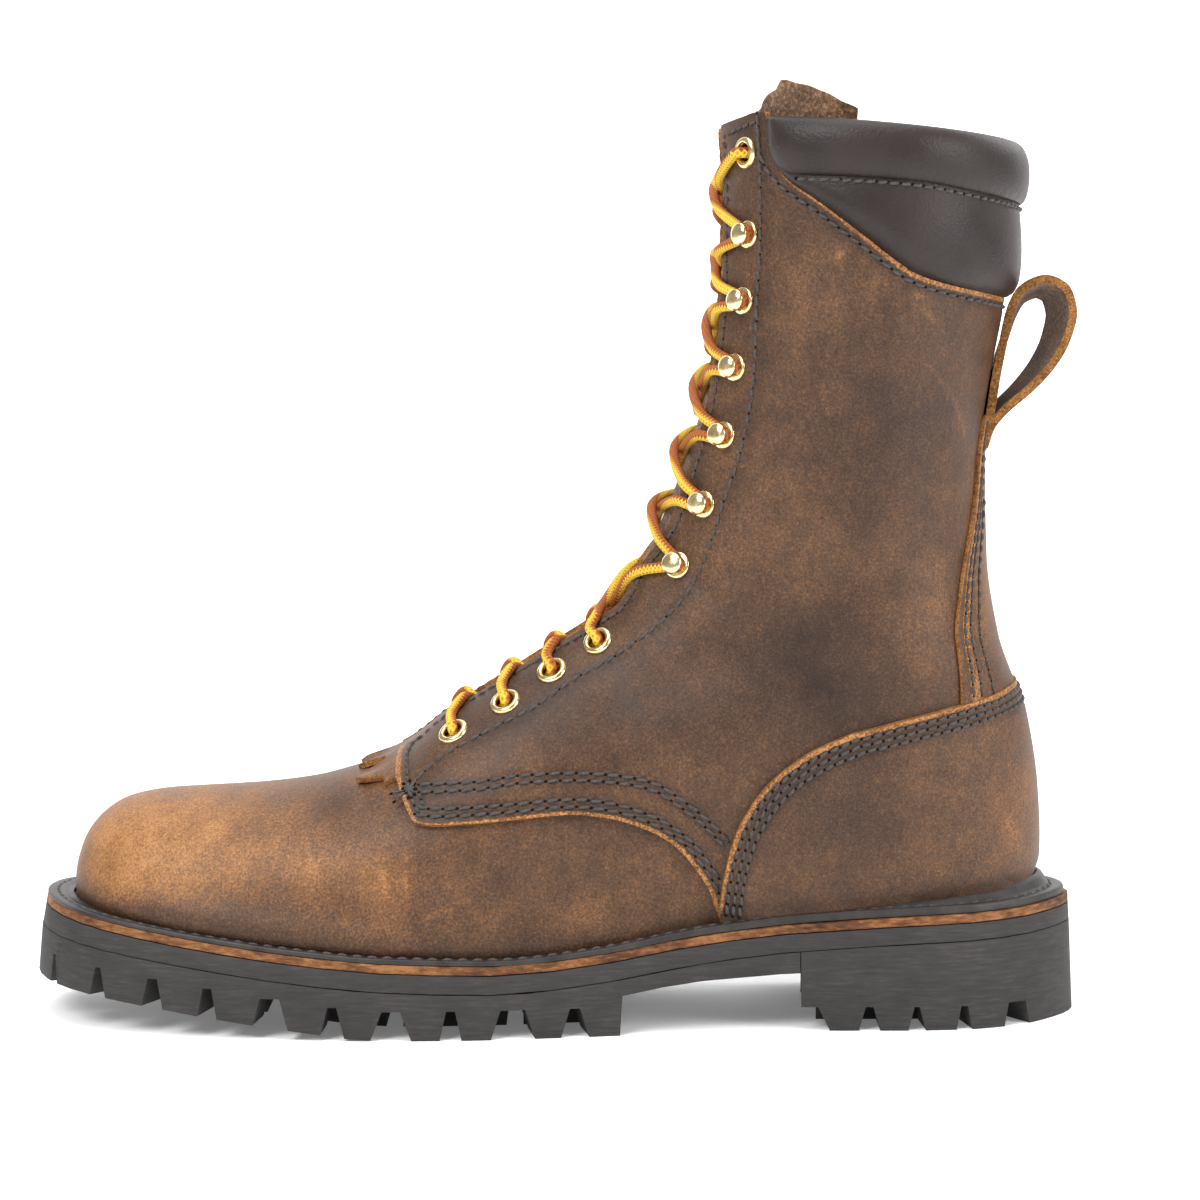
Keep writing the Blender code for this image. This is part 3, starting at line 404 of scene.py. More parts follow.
def spread(tree, value, low, high, newLow=0.0, newHigh=1.0):
    settings = {0: value, 1: low, 2: high, 3: newLow, 4: newHigh}
    return addNode(tree, "MapRange", settings, clamp=True).outputs[0]


def colourRamp(tree, factor, stops):
    node = addNode(tree, "ValToRGB", {"Fac": factor})
    elements = node.color_ramp.elements
    while len(elements) < len(stops):
        elements.new(0.5)
    for element, (position, colour) in zip(elements, stops):
        element.position = position
        element.color = (*colour, 1.0)
    return node.outputs["Color"]


def mixColours(tree, factor, first, second):
    return addNode(tree, "Mix", {0: factor, 6: first, 7: second}, data_type="RGBA").outputs[2]


def addBump(tree, shader, height, strength, distance, under=None):
    settings = {"Height": height, "Strength": strength, "Distance": distance}
    if under is not None:
        settings["Normal"] = under
    normal = addNode(tree, "Bump", settings).outputs["Normal"]
    tree.links.new(normal, shader.inputs["Normal"])
    return normal


def weighted(tree, *pairs):
    # sum of (value - 0.5) * weight, about 0.5
    total = 0.5
    for value, weight in pairs:
        total = calc(tree, "ADD", total, calc(tree, "MULTIPLY", calc(tree, "SUBTRACT", value, 0.5), weight))
    return total


# finishes with one colour ramp; a noise is scale, detail, roughness, squeeze sideways and weight in the
# colour, gloss the range of roughness over the first noise, bump a noise's number, its strength and depth
plainLooks = {
    "rawEdge": {
        "name": "rawLeatherEdge", "roughness": 0.88, "specular": 0.2,
        "noises": ((1500, 6, 0.75, 1, 2.0), (160, 4, 0.55, 1, 0.8)),
        "stops": ((0.25, (0.090, 0.038, 0.012)), (0.5, (0.235, 0.100, 0.028)), (0.75, (0.42, 0.20, 0.065))),
        "bump": (0, 0.7, 0.0007),
    },
    "suede": {
        "name": "leatherFleshSide", "roughness": 0.95, "specular": 0.12, "sheen": 0.25,
        "noises": ((900, 6, 0.75, 1, 2.4), (90, 5, 0.55, 1, 0.8)),
        "stops": ((0.15, (0.035, 0.016, 0.007)), (0.5, (0.150, 0.072, 0.030)), (0.85, (0.40, 0.23, 0.115))),
        "bump": (0, 1.0, 0.0012),
    },
    "rubber": {
        "name": "soleRubber", "roughness": 0.72, "specular": 0.35,
        "noises": ((1100, 5, 0.7, 0.10, 0.9), (55, 5, 0.65, 1, 0.5)),
        "stops": (
            (0.25, (0.020, 0.018, 0.0175)), (0.55, (0.035, 0.032, 0.031)), (0.85, (0.066, 0.059, 0.055)),
        ),
        "bump": (0, 0.25, 0.0003),
    },
    "midsole": {
        "name": "midsoleLeather", "roughness": 0.70, "specular": 0.3,
        "noises": ((900, 6, 0.75, 0.25, 1.7), (70, 5, 0.55, 1, 1.0)),
        "stops": (
            (0.15, (0.035, 0.014, 0.007)), (0.45, (0.130, 0.048, 0.014)), (0.75, (0.290, 0.125, 0.042)),
        ),
        "bump": (0, 0.5, 0.0005),
    },
    "welt": {
        "name": "weltLeather", "roughness": 0.48, "specular": 0.45,
        "noises": ((140, 5, 0.55, 1, 1.0), (700, 5, 0.7, 1, 0.0)),
        "stops": ((0.3, (0.012, 0.010, 0.009)), (0.75, (0.040, 0.034, 0.031))),
        "bump": (1, 0.4, 0.0004),
    },
    "brass": {
        "name": "polishedBrass", "metallic": 1.0, "gloss": (0.14, 0.30),
        "noises": ((420, 4, 0.55, 1, 1.0),),
        "stops": ((0.3, (0.72, 0.52, 0.20)), (0.7, (0.93, 0.80, 0.50))),
    },
    "thread": {
        "name": "darkThread", "roughness": 0.6, "specular": 0.3,
        "noises": ((2600, 3, 0.55, 1, 1.0),),
        "stops": ((0.3, (0.026, 0.024, 0.024)), (0.7, (0.092, 0.081, 0.076))),
        "bump": (0, 0.4, 0.0002),
    },
    # near-black specks that stand in for the shade inside each needle hole: painted shade
    "holeShade": {
        "name": "needleHole", "roughness": 0.9, "specular": 0.1,
        "noises": ((900, 4, 0.55, 1, 1.0),),
        "stops": ((0.3, (0.004, 0.003, 0.002)), (0.7, (0.012, 0.008, 0.006))),
    },
}


def makePlainFinish(look):
    uniform = {key: look[key] for key in ("roughness", "metallic", "specular") if key in look}
    finish, tree, shader = newFinish(look["name"], **uniform)
    shader.inputs["Sheen Weight"].default_value = look.get("sheen", 0.0)
    noises = []
    for scale, detail, roughness, squeeze, weight in look["noises"]:
        place = objectPlace(tree, (squeeze, squeeze, 1.0))
        noises.append((noise(tree, place, scale, detail, roughness), weight))
    tree.links.new(colourRamp(tree, weighted(tree, *noises), look["stops"]), shader.inputs["Base Color"])
    if "gloss" in look:
        tree.links.new(spread(tree, noises[0][0], 0.3, 0.7, *look["gloss"]), shader.inputs["Roughness"])
    if "bump" in look:
        number, strength, depth = look["bump"]
        addBump(tree, shader, noises[number][0], strength, depth)
    return finish


oiledLook = {
    "stops": (
        (0.00, (0.018, 0.009, 0.0055)), (0.28, (0.044, 0.022, 0.0122)), (0.48, (0.083, 0.0405, 0.0205)),
        (0.66, (0.160, 0.072, 0.029)), (0.84, (0.275, 0.124, 0.043)), (1.00, (0.40, 0.20, 0.075)),
    ),
    "edge": ((0.25, (0.095, 0.036, 0.010)), (0.5, (0.25, 0.100, 0.026)), (0.75, (0.44, 0.205, 0.064))),
    "frayed": (0.71, 0.77),  # where the tan of the cut edge starts, where it is full
    "gloss": (0.42, 0.62),
}


def makeOiledLeather(name):
    finish, tree, shader = newFinish(name, specular=0.30)
    place = objectPlace(tree)
    cloud = noise(tree, place, 15, 4, 0.55)
    mottle = noise(tree, place, 90, 5, 0.6)
    fine = noise(tree, place, 1500, 3, 0.65)
    fibres = noise(tree, objectPlace(tree, (1.0, 1.0, 0.4), (0, 0.75, 0)), 620, 3, 0.6)
    base = weighted(tree, (cloud, 0.55), (mottle, 0.48), (fine, 1.05), (fibres, 0.22))
    # the tone attribute holds the leather's own patches and scuffs, the darkening by the welt and seams, and
    # painted light and shade among the patches
    colour = colourRamp(tree, calc(tree, "ADD", base, attribute(tree, "tone")), oiledLook["stops"])
    # frayed tan leather along the cut edges
    frayed = weighted(tree, (attribute(tree, "edgeNear"), 1.0), (noise(tree, place, 900, 4, 0.7), 0.3))
    frayed = spread(tree, frayed, *oiledLook["frayed"])
    cut = colourRamp(tree, weighted(tree, (fine, 2.2), (mottle, 0.8)), oiledLook["edge"])
    tree.links.new(mixColours(tree, frayed, colour, cut), shader.inputs["Base Color"])
    rough = spread(tree, weighted(tree, (mottle, 0.8), (fine, 0.4)), 0.2, 0.8, *oiledLook["gloss"])
    tree.links.new(rough, shader.inputs["Roughness"])
    pores = calc(tree, "MULTIPLY", cells(tree, place, 1300), 0.6)
    grain = calc(tree, "ADD", pores, noise(tree, place, 900, 5, 0.7))
    under = addBump(tree, shader, mottle, 0.16, 0.001)
    addBump(tree, shader, grain, 0.24, 0.00035, under)
    return finish


def makeCollarLeather(name):
    finish, tree, shader = newFinish(name, specular=0.28)
    place = objectPlace(tree)
    mottle = noise(tree, place, 60, 4)
    stops = ((0.3, (0.0165, 0.0112, 0.0102)), (0.7, (0.0285, 0.0200, 0.0184)))
    tree.links.new(colourRamp(tree, mottle, stops), shader.inputs["Base Color"])
    tree.links.new(spread(tree, mottle, 0.3, 0.7, 0.40, 0.50), shader.inputs["Roughness"])
    grain = calc(tree, "ADD", cells(tree, place, 1250), noise(tree, place, 800, 4))
    addBump(tree, shader, grain, 0.3, 0.0003)
    return finish


laceLook = {
    "yellow": ((0.2, (0.42, 0.21, 0.010)), (0.8, (0.84, 0.55, 0.060))),
    "rust": ((0.2, (0.170, 0.036, 0.006)), (0.8, (0.40, 0.115, 0.026))),
    "plaitLength": 1.4,  # mm of cord to each plait
    "plaitsRound": 4.0,
    "teeth": 0.22,  # depth of the stripes' toothed border, in turns
    "turned": -0.106,  # how far the stripes' border lies off the front, in turns
}


def makeLaceBraid(name):
    # UV: u once round the cord, v in metres along it
    finish, tree, shader = newFinish(name, 0.75, specular=0.25)
    uv = addNode(tree, "TexCoord", {}).outputs["UV"]
    split = addNode(tree, "SeparateXYZ", {0: uv})
    u, v = split.outputs[0], split.outputs[1]
    step = calc(tree, "DIVIDE", v, laceLook["plaitLength"] * mm)
    teeth = calc(tree, "MULTIPLY", calc(tree, "PINGPONG", step, 0.5), laceLook["teeth"])
    stripe = calc(tree, "FRACT", calc(tree, "ADD", calc(tree, "ADD", u, 1 + laceLook["turned"]), teeth))
    rust = spread(tree, stripe, 0.46, 0.50)
    # two families of slanting strands
    slant = calc(tree, "MULTIPLY", u, laceLook["plaitsRound"])
    families = [calc(tree, "PINGPONG", calc(tree, way, step, slant), 0.5) for way in ("ADD", "SUBTRACT")]
    plait = calc(tree, "MAXIMUM", *families)
    fibres = noise(tree, objectPlace(tree), 2200, 3)
    # the plait's crests painted lighter and its grooves darker: painted shade between the strands, with the
    # fibres' own tone
    shade = weighted(tree, (calc(tree, "MULTIPLY", plait, 2.0), 0.8), (fibres, 0.5))
    yellow = colourRamp(tree, shade, laceLook["yellow"])
    brown = colourRamp(tree, shade, laceLook["rust"])
    tree.links.new(mixColours(tree, rust, yellow, brown), shader.inputs["Base Color"])
    addBump(tree, shader, calc(tree, "ADD", plait, calc(tree, "MULTIPLY", fibres, 0.2)), 0.9, 0.0006)
    return finish


finishes = {key: makePlainFinish(look) for key, look in plainLooks.items()}
finishes["oiled"] = makeOiledLeather("oiledLeather")
finishes["collar"] = makeCollarLeather("collarLeather")
finishes["lace"] = makeLaceBraid("laceBraid")
print("finishes ready: %d" % len(finishes))


# helpers for the meshes

def pick(*objs):
    bpy.ops.object.select_all(action="DESELECT")
    for obj in objs:
        obj.select_set(True)
    bpy.context.view_layer.objects.active = objs[0]


def inEditMode(obj, *steps):
    pick(obj)
    bpy.ops.object.mode_set(mode="EDIT")
    bpy.ops.mesh.select_all(action="SELECT")
    for step in steps:
        step()
    bpy.ops.object.mode_set(mode="OBJECT")


def mergePoints(distance=0.02):
    return lambda: bpy.ops.mesh.remove_doubles(threshold=distance * mm)


def fillEnds():
    bpy.ops.mesh.fill_holes(sides=0)


def faceOut():
    bpy.ops.mesh.normals_make_consistent(inside=False)


def placesOf(obj):
    # the mesh's points in the tables' millimetres
    places = np.zeros(len(obj.data.vertices) * 3)
    obj.data.vertices.foreach_get("co", places)
    return places.reshape(-1, 3) / mm - (0, sideShift, 0)


def movePoints(obj, places):
    obj.data.vertices.foreach_set("co", inBoot(places).ravel())
    obj.data.update()


def gridSheet(name, points, outward=None):
    # a grid primitive with its points laid on the skin: rows x columns x 3, mm
    if outward is not None:
        across = points[1:, 1:] - points[1:, :-1]
        up = points[1:, 1:] - points[:-1, 1:]
        if np.sum(np.cross(across, up) * outward[1:, 1:]) < 0:
            points = points[:, ::-1]
    rows, columns = points.shape[:2]
    bpy.ops.object.select_all(action="DESELECT")
    bpy.ops.mesh.primitive_grid_add(x_subdivisions=columns - 1, y_subdivisions=rows - 1, size=1)
    sheet = bpy.context.object
    sheet.name = name
    sheet.data.name = name
    movePoints(sheet, points)
    return sheet


def joinSheets(name, sheets):
    pick(*sheets)
    bpy.ops.object.join()
    sheets[0].name = name
    sheets[0].data.name = name
    return sheets[0]


def addRounding(obj, width, angle):
    rounding = obj.modifiers.new("rounding", "BEVEL")
    rounding.width = width * mm
    rounding.segments = 2
    rounding.limit_method = "ANGLE"
    rounding.angle_limit = math.radians(angle)


def applyAll(obj):
    pick(obj)
    for modifier in list(obj.modifiers):
        bpy.ops.object.modifier_apply(modifier=modifier.name)


def addWall(obj, thickness, bevel):
    # gives a sheet its thickness inwards, with its second finish inside and its third on the cut edge
    wall = obj.modifiers.new("wall", "SOLIDIFY")
    wall.thickness = thickness * mm
    wall.offset = -1.0
    wall.use_quality_normals = True
    wall.material_offset = 1
    wall.material_offset_rim = 2
    if bevel:
        addRounding(obj, bevel, 50)
    applyAll(obj)


def smoothShade(obj, angle=50):
    pick(obj)
    bpy.ops.object.shade_smooth_by_angle(angle=math.radians(angle))


def setFinishes(obj, *names):
    obj.data.materials.clear()
    for name in names:
        obj.data.materials.append(finishes[name])


def settlePiece(obj, slotName, *nodes):
    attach(obj, "root")
    if nodes:
        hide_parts(*nodes)
    print("%s: %d faces" % (obj.name, len(obj.data.polygons)))
    return obj


def setAttribute(obj, name, values):
    layer = obj.data.attributes.new(name, "FLOAT", "POINT")
    layer.data.foreach_set("value", values.astype(np.float32))


# lighter and darker places of the oiled leather, partly its own uneven tone and partly painted light and shade
# such as the lit top of the toe, as seen from the side:
# x, z, half width, half height, how much lighter
toneAndPaintedLightPatches = (
    (-130, 56, 24, 15, 0.26), (-102, 60, 32, 14, 0.16), (-76, 50, 26, 18, 0.12), (-45, 46, 24, 12, 0.12),
    (-122, 43, 26, 9, 0.16), (-66, 66, 11, 7, -0.16), (-88, 34, 16, 6, -0.06), (-20, 40, 34, 12, -0.02),
    (-16, 80, 24, 7, 0.10), (-30, 88, 20, 7, -0.06), (8, 98, 30, 12, -0.06), (36, 92, 20, 10, -0.04),
    (72, 110, 24, 15, -0.24), (96, 97, 22, 11, -0.14), (100, 178, 26, 24, -0.16), (92, 150, 20, 14, -0.05),
    (64, 190, 7, 50, -0.04), (84, 236, 18, 10, -0.06), (112, 200, 16, 12, 0.04), (138, 66, 9, 26, 0.14),
    (88, 62, 27, 18, -0.15), (64, 48, 10, 14, -0.05), (124, 130, 12, 30, 0.02), (40, 80, 24, 10, -0.02),
)
# light scuffs on the outer side: from x, z to x, z, half width, how much lighter
scuffs = (
    (-51, 50, -48.7, 42, 0.9, 0.14), (-43.6, 53.5, -42.7, 41, 0.8, 0.12), (-37.5, 34.3, -25, 40, 0.8, 0.16),
    (80.3, 226.6, 83, 228, 0.8, 0.20), (83, 228, 85.2, 231, 0.7, 0.18), (104.6, 216.5, 107, 216, 0.8, 0.22),
    (108.7, 211, 110.2, 208.7, 0.7, 0.20), (109.3, 196, 118, 185, 1.0, 0.10),
    (118, 185, 121, 175.5, 1.0, 0.10), (78, 190, 80, 182, 0.8, 0.10), (-112, 47, -104, 44, 1.2, 0.06),
    (-74, 58, -70, 48, 1.0, 0.08),
)
weltDarkening = {"height": 5.5, "amount": -0.16}  # darker towards the welt


def paintTone(obj, offset, panel):
    places = placesOf(obj)
    x, z = places[:, 0], places[:, 2]
    tone = np.full(len(places), float(offset))
    # patches of the leather's own tone mixed with painted light and shade
    for px, pz, rx, rz, amount in toneAndPaintedLightPatches:
        tone += amount * np.exp(-((x - px) / rx) ** 2 - ((z - pz) / rz) ** 2)
    for *ends, width, amount in scuffs:
        away = besideRun(places[:, (0, 2)], *ends)[1]
        tone += np.where(places[:, 1] < 0, amount * np.exp(-(away / width) ** 2), 0)
    above = np.maximum(z - featherHeight(x) - rimRise(x), 0)
    tone += weltDarkening["amount"] * np.exp(-(above / weltDarkening["height"]) ** 2)
    if panel:
        tone -= seamLook["dark"] * np.exp(-(seamDistance(places, panel) / seamLook["darkWidth"]) ** 2)
    setAttribute(obj, "tone", tone)


def awayFrom(places, *lines):
    # distance from lines in the side view
    nearest = np.full(len(places), 99.0)
    for line in lines:
        for x, z in runOf(line, int(lengthAlong(np.asarray(line, float))[-1])):
            nearest = np.minimum(nearest, np.hypot(places[:, 0] - x, places[:, 2] - z))
    return nearest


def paintEdge(obj, away):
    # 1 on the cut edge, 0 from 5 mm inside it
    setAttribute(obj, "edgeNear", np.clip(1 - away / 5, 0, 1))


def finishLeather(sheet, wall, node, tone=0.0, panel=None, bevel=0.35):
    # an oiled panel with its flesh side and raw edges, in place of a CAD node
    setFinishes(sheet, "oiled", "suede", "rawEdge")
    addWall(sheet, wall, bevel)
    smoothShade(sheet)
    paintTone(sheet, tone, panel)
    return settlePiece(sheet, "brown_leather", node)


def cutHoles(sheet, middles, radius):
    centres = np.zeros(len(sheet.data.polygons) * 3)
    sheet.data.polygons.foreach_get("center", centres)
    away = np.linalg.norm(centres.reshape(-1, 1, 3) - inBoot(middles), axis=2).min(1)
    inEditMode(
        sheet,
        lambda: bpy.ops.mesh.select_mode(type="FACE"),
        lambda: bpy.ops.mesh.select_all(action="DESELECT"),
    )
    sheet.data.polygons.foreach_set("select", away < radius * mm)
    bpy.ops.object.mode_set(mode="EDIT")
    bpy.ops.mesh.delete(type="FACE")
    bpy.ops.mesh.select_mode(type="VERT")
    bpy.ops.object.mode_set(mode="OBJECT")


# distance along the boot for each station, so that rows can be spread evenly
stationSteps = np.linspace(0, stationCount - 1, 600)
ringSteps = np.linspace(-1.9, 1.9, 25)
ringPoints = skinPoint(stationSteps[:, None], ringSteps[None, :])
meanStep = np.linalg.norm(np.diff(ringPoints, axis=0), axis=-1).mean(1)
stationReach = np.concatenate([[0], np.cumsum(meanStep)])


def reachOf(station):
    return np.interp(station, stationSteps, stationReach)


def stationOf(reach):
    return np.interp(reach, stationReach, stationSteps)


# lifts over the last, mm
layers = {"wall": 2.0, "quarterUnder": 0.05, "quarterTop": 2.3, "counterUnder": 2.35, "counterTop": 4.6}
outerInner = ((-1, "lateral"), (1, "medial"))


# quarters: the two outer panels with the eyestay and the tab over the vamp
quarterShape = {
    "front": (
        (-41.5, 85.0), (-45.4, 82.8), (-47.2, 79.6), (-46.8, 75.0), (-44.8, 69.4), (-42.0, 63.8),
        (-40.6, 61.6),
    ),
    "lower": (
        (-40.6, 61.6), (-36.0, 61.2), (-28, 61.6), (-11, 63.1), (5, 64.3), (16, 63.1), (26, 60.1), (35, 55.2),
        (42, 47.5), (46.4, 40), (47.6, 36),
    ),
    "top": (
        (49.6, 265.6), (52, 266.8), (57, 268.4), (61, 269.6), (63.4, 269.6), (63.9, 266), (64.1, 260),
        (65.2, 255.6), (69, 250), (78, 243), (93, 231), (100, 225.4), (104, 222.8), (112, 220), (124, 217.4),
        (141, 214.2),
    ),
    "topCorner": 4,  # where the top edge's bare part starts
    "tabGap": 8.0,
    "eyelets": ((-29.4, 86.0), (-14.0, 94.7), (-0.1, 103.5), (13.9, 112.2), (58.2, 258)),
    "eyeletHole": 3.3,  # radius
    "upright": {"front": 1.0, "top": 0.03},  # share of the columns that go to an edge's upright parts
    "girth": 130,  # mm from the throat to the welt, about
    "sink": 1.0,  # how far it goes down behind the welt's rim
    "columns": 124,
    "rowStep": 1.05,
    "evening": 60,  # rounds
}
quarterBare = quarterShape["top"][quarterShape["topCorner"]:]


def quarterThroat(station):
    tab = turnBeside(quarterShape["tabGap"], lastAt(station)[..., 9])
    return np.maximum(throatTurn(station), tab)


# counter: the heel pocket over both quarters
counterShape = {
    "edge": (
        (48.5, 35.0), (50, 45), (53.5, 58), (60, 70), (70, 79.5), (84, 87), (102, 92), (120, 96), (134, 99),
        (141, 100.6),
    ),
    "middle": 95.0,  # x that the columns turn round
    "columns": 110,
    "rows": 64,
    "low": 38.0,  # height where the foot of each column is looked up
    "sink": 1.5,  # how far it goes down behind the welt's rim
    "pinch": (1.4, 3.5),  # how much closer to the last it lies there, and up to what height
}


# backstay: the strip over the back seam, under the counter's edge
backstayShape = {
    # height, half width along y
    "halfWidths": ((88, 31), (112, 29), (127, 25.5), (144, 20.5), (161, 15.5), (181, 11.5)),
    "top": 3.9,
    "stitches": ((2.1, 180), (4.0, 180), (7.5, 156)),  # inset from its side, height of the row's top
    "stitchesFrom": 98,  # height
    "columns": 60,
    "rows": 90,
}


def offsetLine(points, distance, count=400):
    # a line beside another in the side view, to its right when the distance is positive
    line = runOf(points, count)
    along = unit(np.gradient(line, axis=0))
    return line + distance * np.stack([along[:, 1], -along[:, 0]], 1)


def facingLine(inset, first, final):
    # a line on the quarter beside the throat
    stations = stationOf(np.linspace(reachOf(first), reachOf(final), 300))
    edge = quarterThroat(stations)
    width = np.linalg.norm(skinPoint(stations, edge + 0.02) - skinPoint(stations, edge), axis=-1) / 0.02
    return skinPoint(stations, edge + inset / width)[:, (0, 2)]


def backTurn(height, inset=0.0):
    # turn of the backstay's edge at a height, or of a line inside it
    half = curveOf(backstayShape["halfWidths"])(height) - inset
    return halving(
        np.full(height.shape, 1.0), np.full(height.shape, 2.0),
        lambda turn: skinPoint(stationAt(turn, height), turn)[..., 1] > half, 30)[1]


def fromSide(line):
    # station and turn along a line in the side view, which ends on the back seam if it reaches it
    station, turn = placeOf(line[:, 0], line[:, 1])
    inside = turn < 1.96
    if inside.all():
        return station, turn
    height = line[inside][-1, 1]
    return np.append(station[inside], stationAt(2.0, height)), np.append(turn[inside], 2.0)


# lines of stitching in the side view: x, z
seamLines = {
    "eyestay": (
        (61, 267), (62, 250), (62, 235), (61, 215), (60, 194), (56, 171), (51, 155), (46, 140), (40, 128.2),
        (30.6, 117.5), (24.6, 112.9), (16.3, 107.1), (8.9, 103.2), (1.4, 98.4), (-6.9, 93), (-15.8, 88.7),
        (-23, 84.9), (-32, 79.8), (-40, 72.8), (-42, 70),
    ),
    "foot": (
        (-39.4, 71.6), (-23, 73.2), (-8, 75.4), (7, 76), (19, 75.2), (30, 73), (37, 69), (45, 63), (52, 56),
    ),
    "corner": ((-42, 70), (-43.2, 75), (-43.8, 79.2), (-42.8, 82.2), (-39.4, 84.6)),
    "topCorner": ((54.2, 264.2), (57, 265.4), (60.6, 266.6)),
    "tabFront": ((-42, 70), (-40.6, 66.6), (-39.0, 64.2)),
    "tabInner": ((-39.2, 69.6), (-38.6, 68), (-37.6, 66)),
}


def seamRows():
    # rows of stitches: panel, length of a stitch, then station and turn along the row
    edging = np.concatenate([
        runOf(seamLines["corner"], 40),
        facingLine(inset=2.7, first=9.8, final=26.8),
        runOf(seamLines["topCorner"], 30),
    ])
    lines = [
        ("quarter", 3.9, runOf(seamLines["eyestay"], 400)),
        ("quarter", 3.3, edging),
        ("quarter", 4.3, runOf(seamLines["foot"], 400)),
        ("quarter", 4.3, offsetLine(seamLines["foot"], 2.0)),
        ("quarter", 4.3, offsetLine(quarterShape["lower"], -2.3)),
        ("quarter", 4.3, offsetLine(quarterShape["lower"], -4.3)),
        ("quarter", 3.4, runOf(seamLines["tabFront"], 40)),
        ("quarter", 3.4, runOf(seamLines["tabInner"], 40)),
        ("quarter", 3.9, offsetLine(quarterBare, 2.6)),
    ]
    lines += [("counter", 3.4, offsetLine(counterShape["edge"], inset, 900)) for inset in (2.0, 4.0, 6.0)]
    rows = [(panel, pitch, *fromSide(line)) for panel, pitch, line in lines]
    for inset, top in backstayShape["stitches"]:
        height = np.linspace(backstayShape["stitchesFrom"], top, 200)
        turn = backTurn(height, inset)
        rows.append(("backstay", 3.6, stationAt(turn, height), turn))
    return rows


seams = seamRows()
seamLook = {"dip": 0.35, "dipWidth": 1.1, "dark": 0.09, "darkWidth": 2.0}


def seamDistance(points, panel):
    flat = points[..., (0, 2)].reshape(-1, 2)
    nearest = np.full(len(flat), 99.0)
    for name, pitch, station, turn in seams:
        if name == panel:
            for x, y, z in skinPoint(station, turn)[::4]:
                nearest = np.minimum(nearest, np.hypot(flat[:, 0] - x, flat[:, 1] - z))
    return nearest.reshape(points.shape[:-1])


def drawnIn(station, turn, lift, panel):
    # the leather's top, sunk a little along its stitches
    away = seamDistance(skinPoint(station, turn), panel)
    return skin(station, turn, lift - seamLook["dip"] * np.exp(-(away / seamLook["dipWidth"]) ** 2))


# vamp and inner shaft: one hollow shell, open at the throat, the collar and underneath
vampShape = {"rowStep": 1.15, "shaftStep": 3.0, "shaftFrom": 10.5, "columns": 46}


def makeVamp():
    turnover = reachOf(vampShape["shaftFrom"])
    top = reachOf(last["collarStation"])
    front = np.arange(0, turnover, vampShape["rowStep"])
    rear = np.linspace(turnover, top, int((top - turnover) / vampShape["shaftStep"]))
    stations = stationOf(np.concatenate([front, rear]))[:, None]
    throat = throatTurn(stations)
    halves = []
    for side in (-1, 1):
        turns = side * (throat + (2 - throat) * np.linspace(0, 1, vampShape["columns"]))
        halves.append(gridSheet("vampHalf", skin(stations, turns), skinNormal(stations, turns)))
    vamp = joinSheets("vamp", halves)
    inEditMode(vamp, mergePoints())
    station, turn = placeOf(*np.array(quarterShape["eyelets"]).T)
    holeShadeSpecks = [skin(station, side * turn) for side in (-1, 1)]
    cutHoles(vamp, np.concatenate(holeShadeSpecks), quarterShape["eyeletHole"])
    finishLeather(vamp, layers["wall"], "upper", bevel=0)


makeVamp()


def lowestTurn(station):
    # turn where the skin meets the welt's rim, or the back seam above it
    def clear(turn):
        x, y, z = np.moveaxis(skinPoint(station, turn), -1, 0)
        return z > featherHeight(x) + rimRise(x) - quarterShape["sink"]
    return halving(np.full(station.shape, 1.2), np.full(station.shape, 2.0), clear, 30)[1]


# the same, evened out so that the quarters' grid has no sudden step at the heel
evening = np.hanning(45) / np.hanning(45).sum()
lowestTurns = np.convolve(np.pad(lowestTurn(stationSteps), 22, "edge"), evening, "valid")


def makeQuarter(side, word):
    ends = []
    front = np.concatenate([runOf(quarterShape["front"], 1500), runOf(quarterShape["lower"], 1500)[1:]])
    for edge, line in (("front", front), ("top", runOf(quarterShape["top"], 1500))):
        station, turn = placeOf(line[:, 0], line[:, 1])
        low = quarterThroat(station)
        u = np.clip((turn - low) / (np.interp(station, stationSteps, lowestTurns) - low), 0, 1)
        u = np.maximum.accumulate(u)
        u[0] = 0
        u[-1] = 1
        # columns spread along the edge, with few of them where it runs straight up
        upward = np.diff(reachOf(station)) * quarterShape["upright"][edge]
        steps = np.hypot(np.diff(u) * quarterShape["girth"], upward)
        reach = np.concatenate([[0], np.cumsum(steps)])
        marks = np.linspace(0, reach[-1], quarterShape["columns"])
        ends.append((np.interp(marks, reach, reachOf(station)), np.interp(marks, reach, u)))
    (bottomReach, bottomU), (topReach, topU) = ends
    rows = int((topReach - bottomReach).max() / quarterShape["rowStep"])
    v = np.linspace(0, 1, rows)[:, None]
    reaches = bottomReach + (topReach - bottomReach) * v
    u = bottomU + (topU - bottomU) * v
    # takes the kinks out of the columns above the tab's corner
    for _ in range(quarterShape["evening"]):
        for grid in (reaches, u):
            inner = grid[1:-1, 1:-1]
            beside = (grid[2:, 1:-1] + grid[:-2, 1:-1] + grid[1:-1, 2:] + grid[1:-1, :-2]) / 4
            inner += 0.5 * (1 - v[1:-1]) ** 2 * (beside - inner)
    stations = stationOf(reaches)
    low = quarterThroat(stations)
    turns = side * (low + (np.interp(stations, stationSteps, lowestTurns) - low) * u)
    points = drawnIn(stations, turns, layers["quarterTop"], "quarter")
    quarter = gridSheet("quarter" + word.capitalize(), points, skinNormal(stations, turns))
    inEditMode(quarter, mergePoints())
    station, turn = placeOf(*np.array(quarterShape["eyelets"]).T)
    cutHoles(quarter, skin(station, side * turn, layers["quarterTop"]), quarterShape["eyeletHole"])
    wall = layers["quarterTop"] - layers["quarterUnder"]
    finishLeather(quarter, wall, "quarter_" + word, tone=-0.04, panel="quarter")
    bare = quarterShape["front"], quarterShape["lower"], quarterBare
    paintEdge(quarter, awayFrom(placesOf(quarter), *bare))


for side, word in outerInner:
    makeQuarter(side, word)


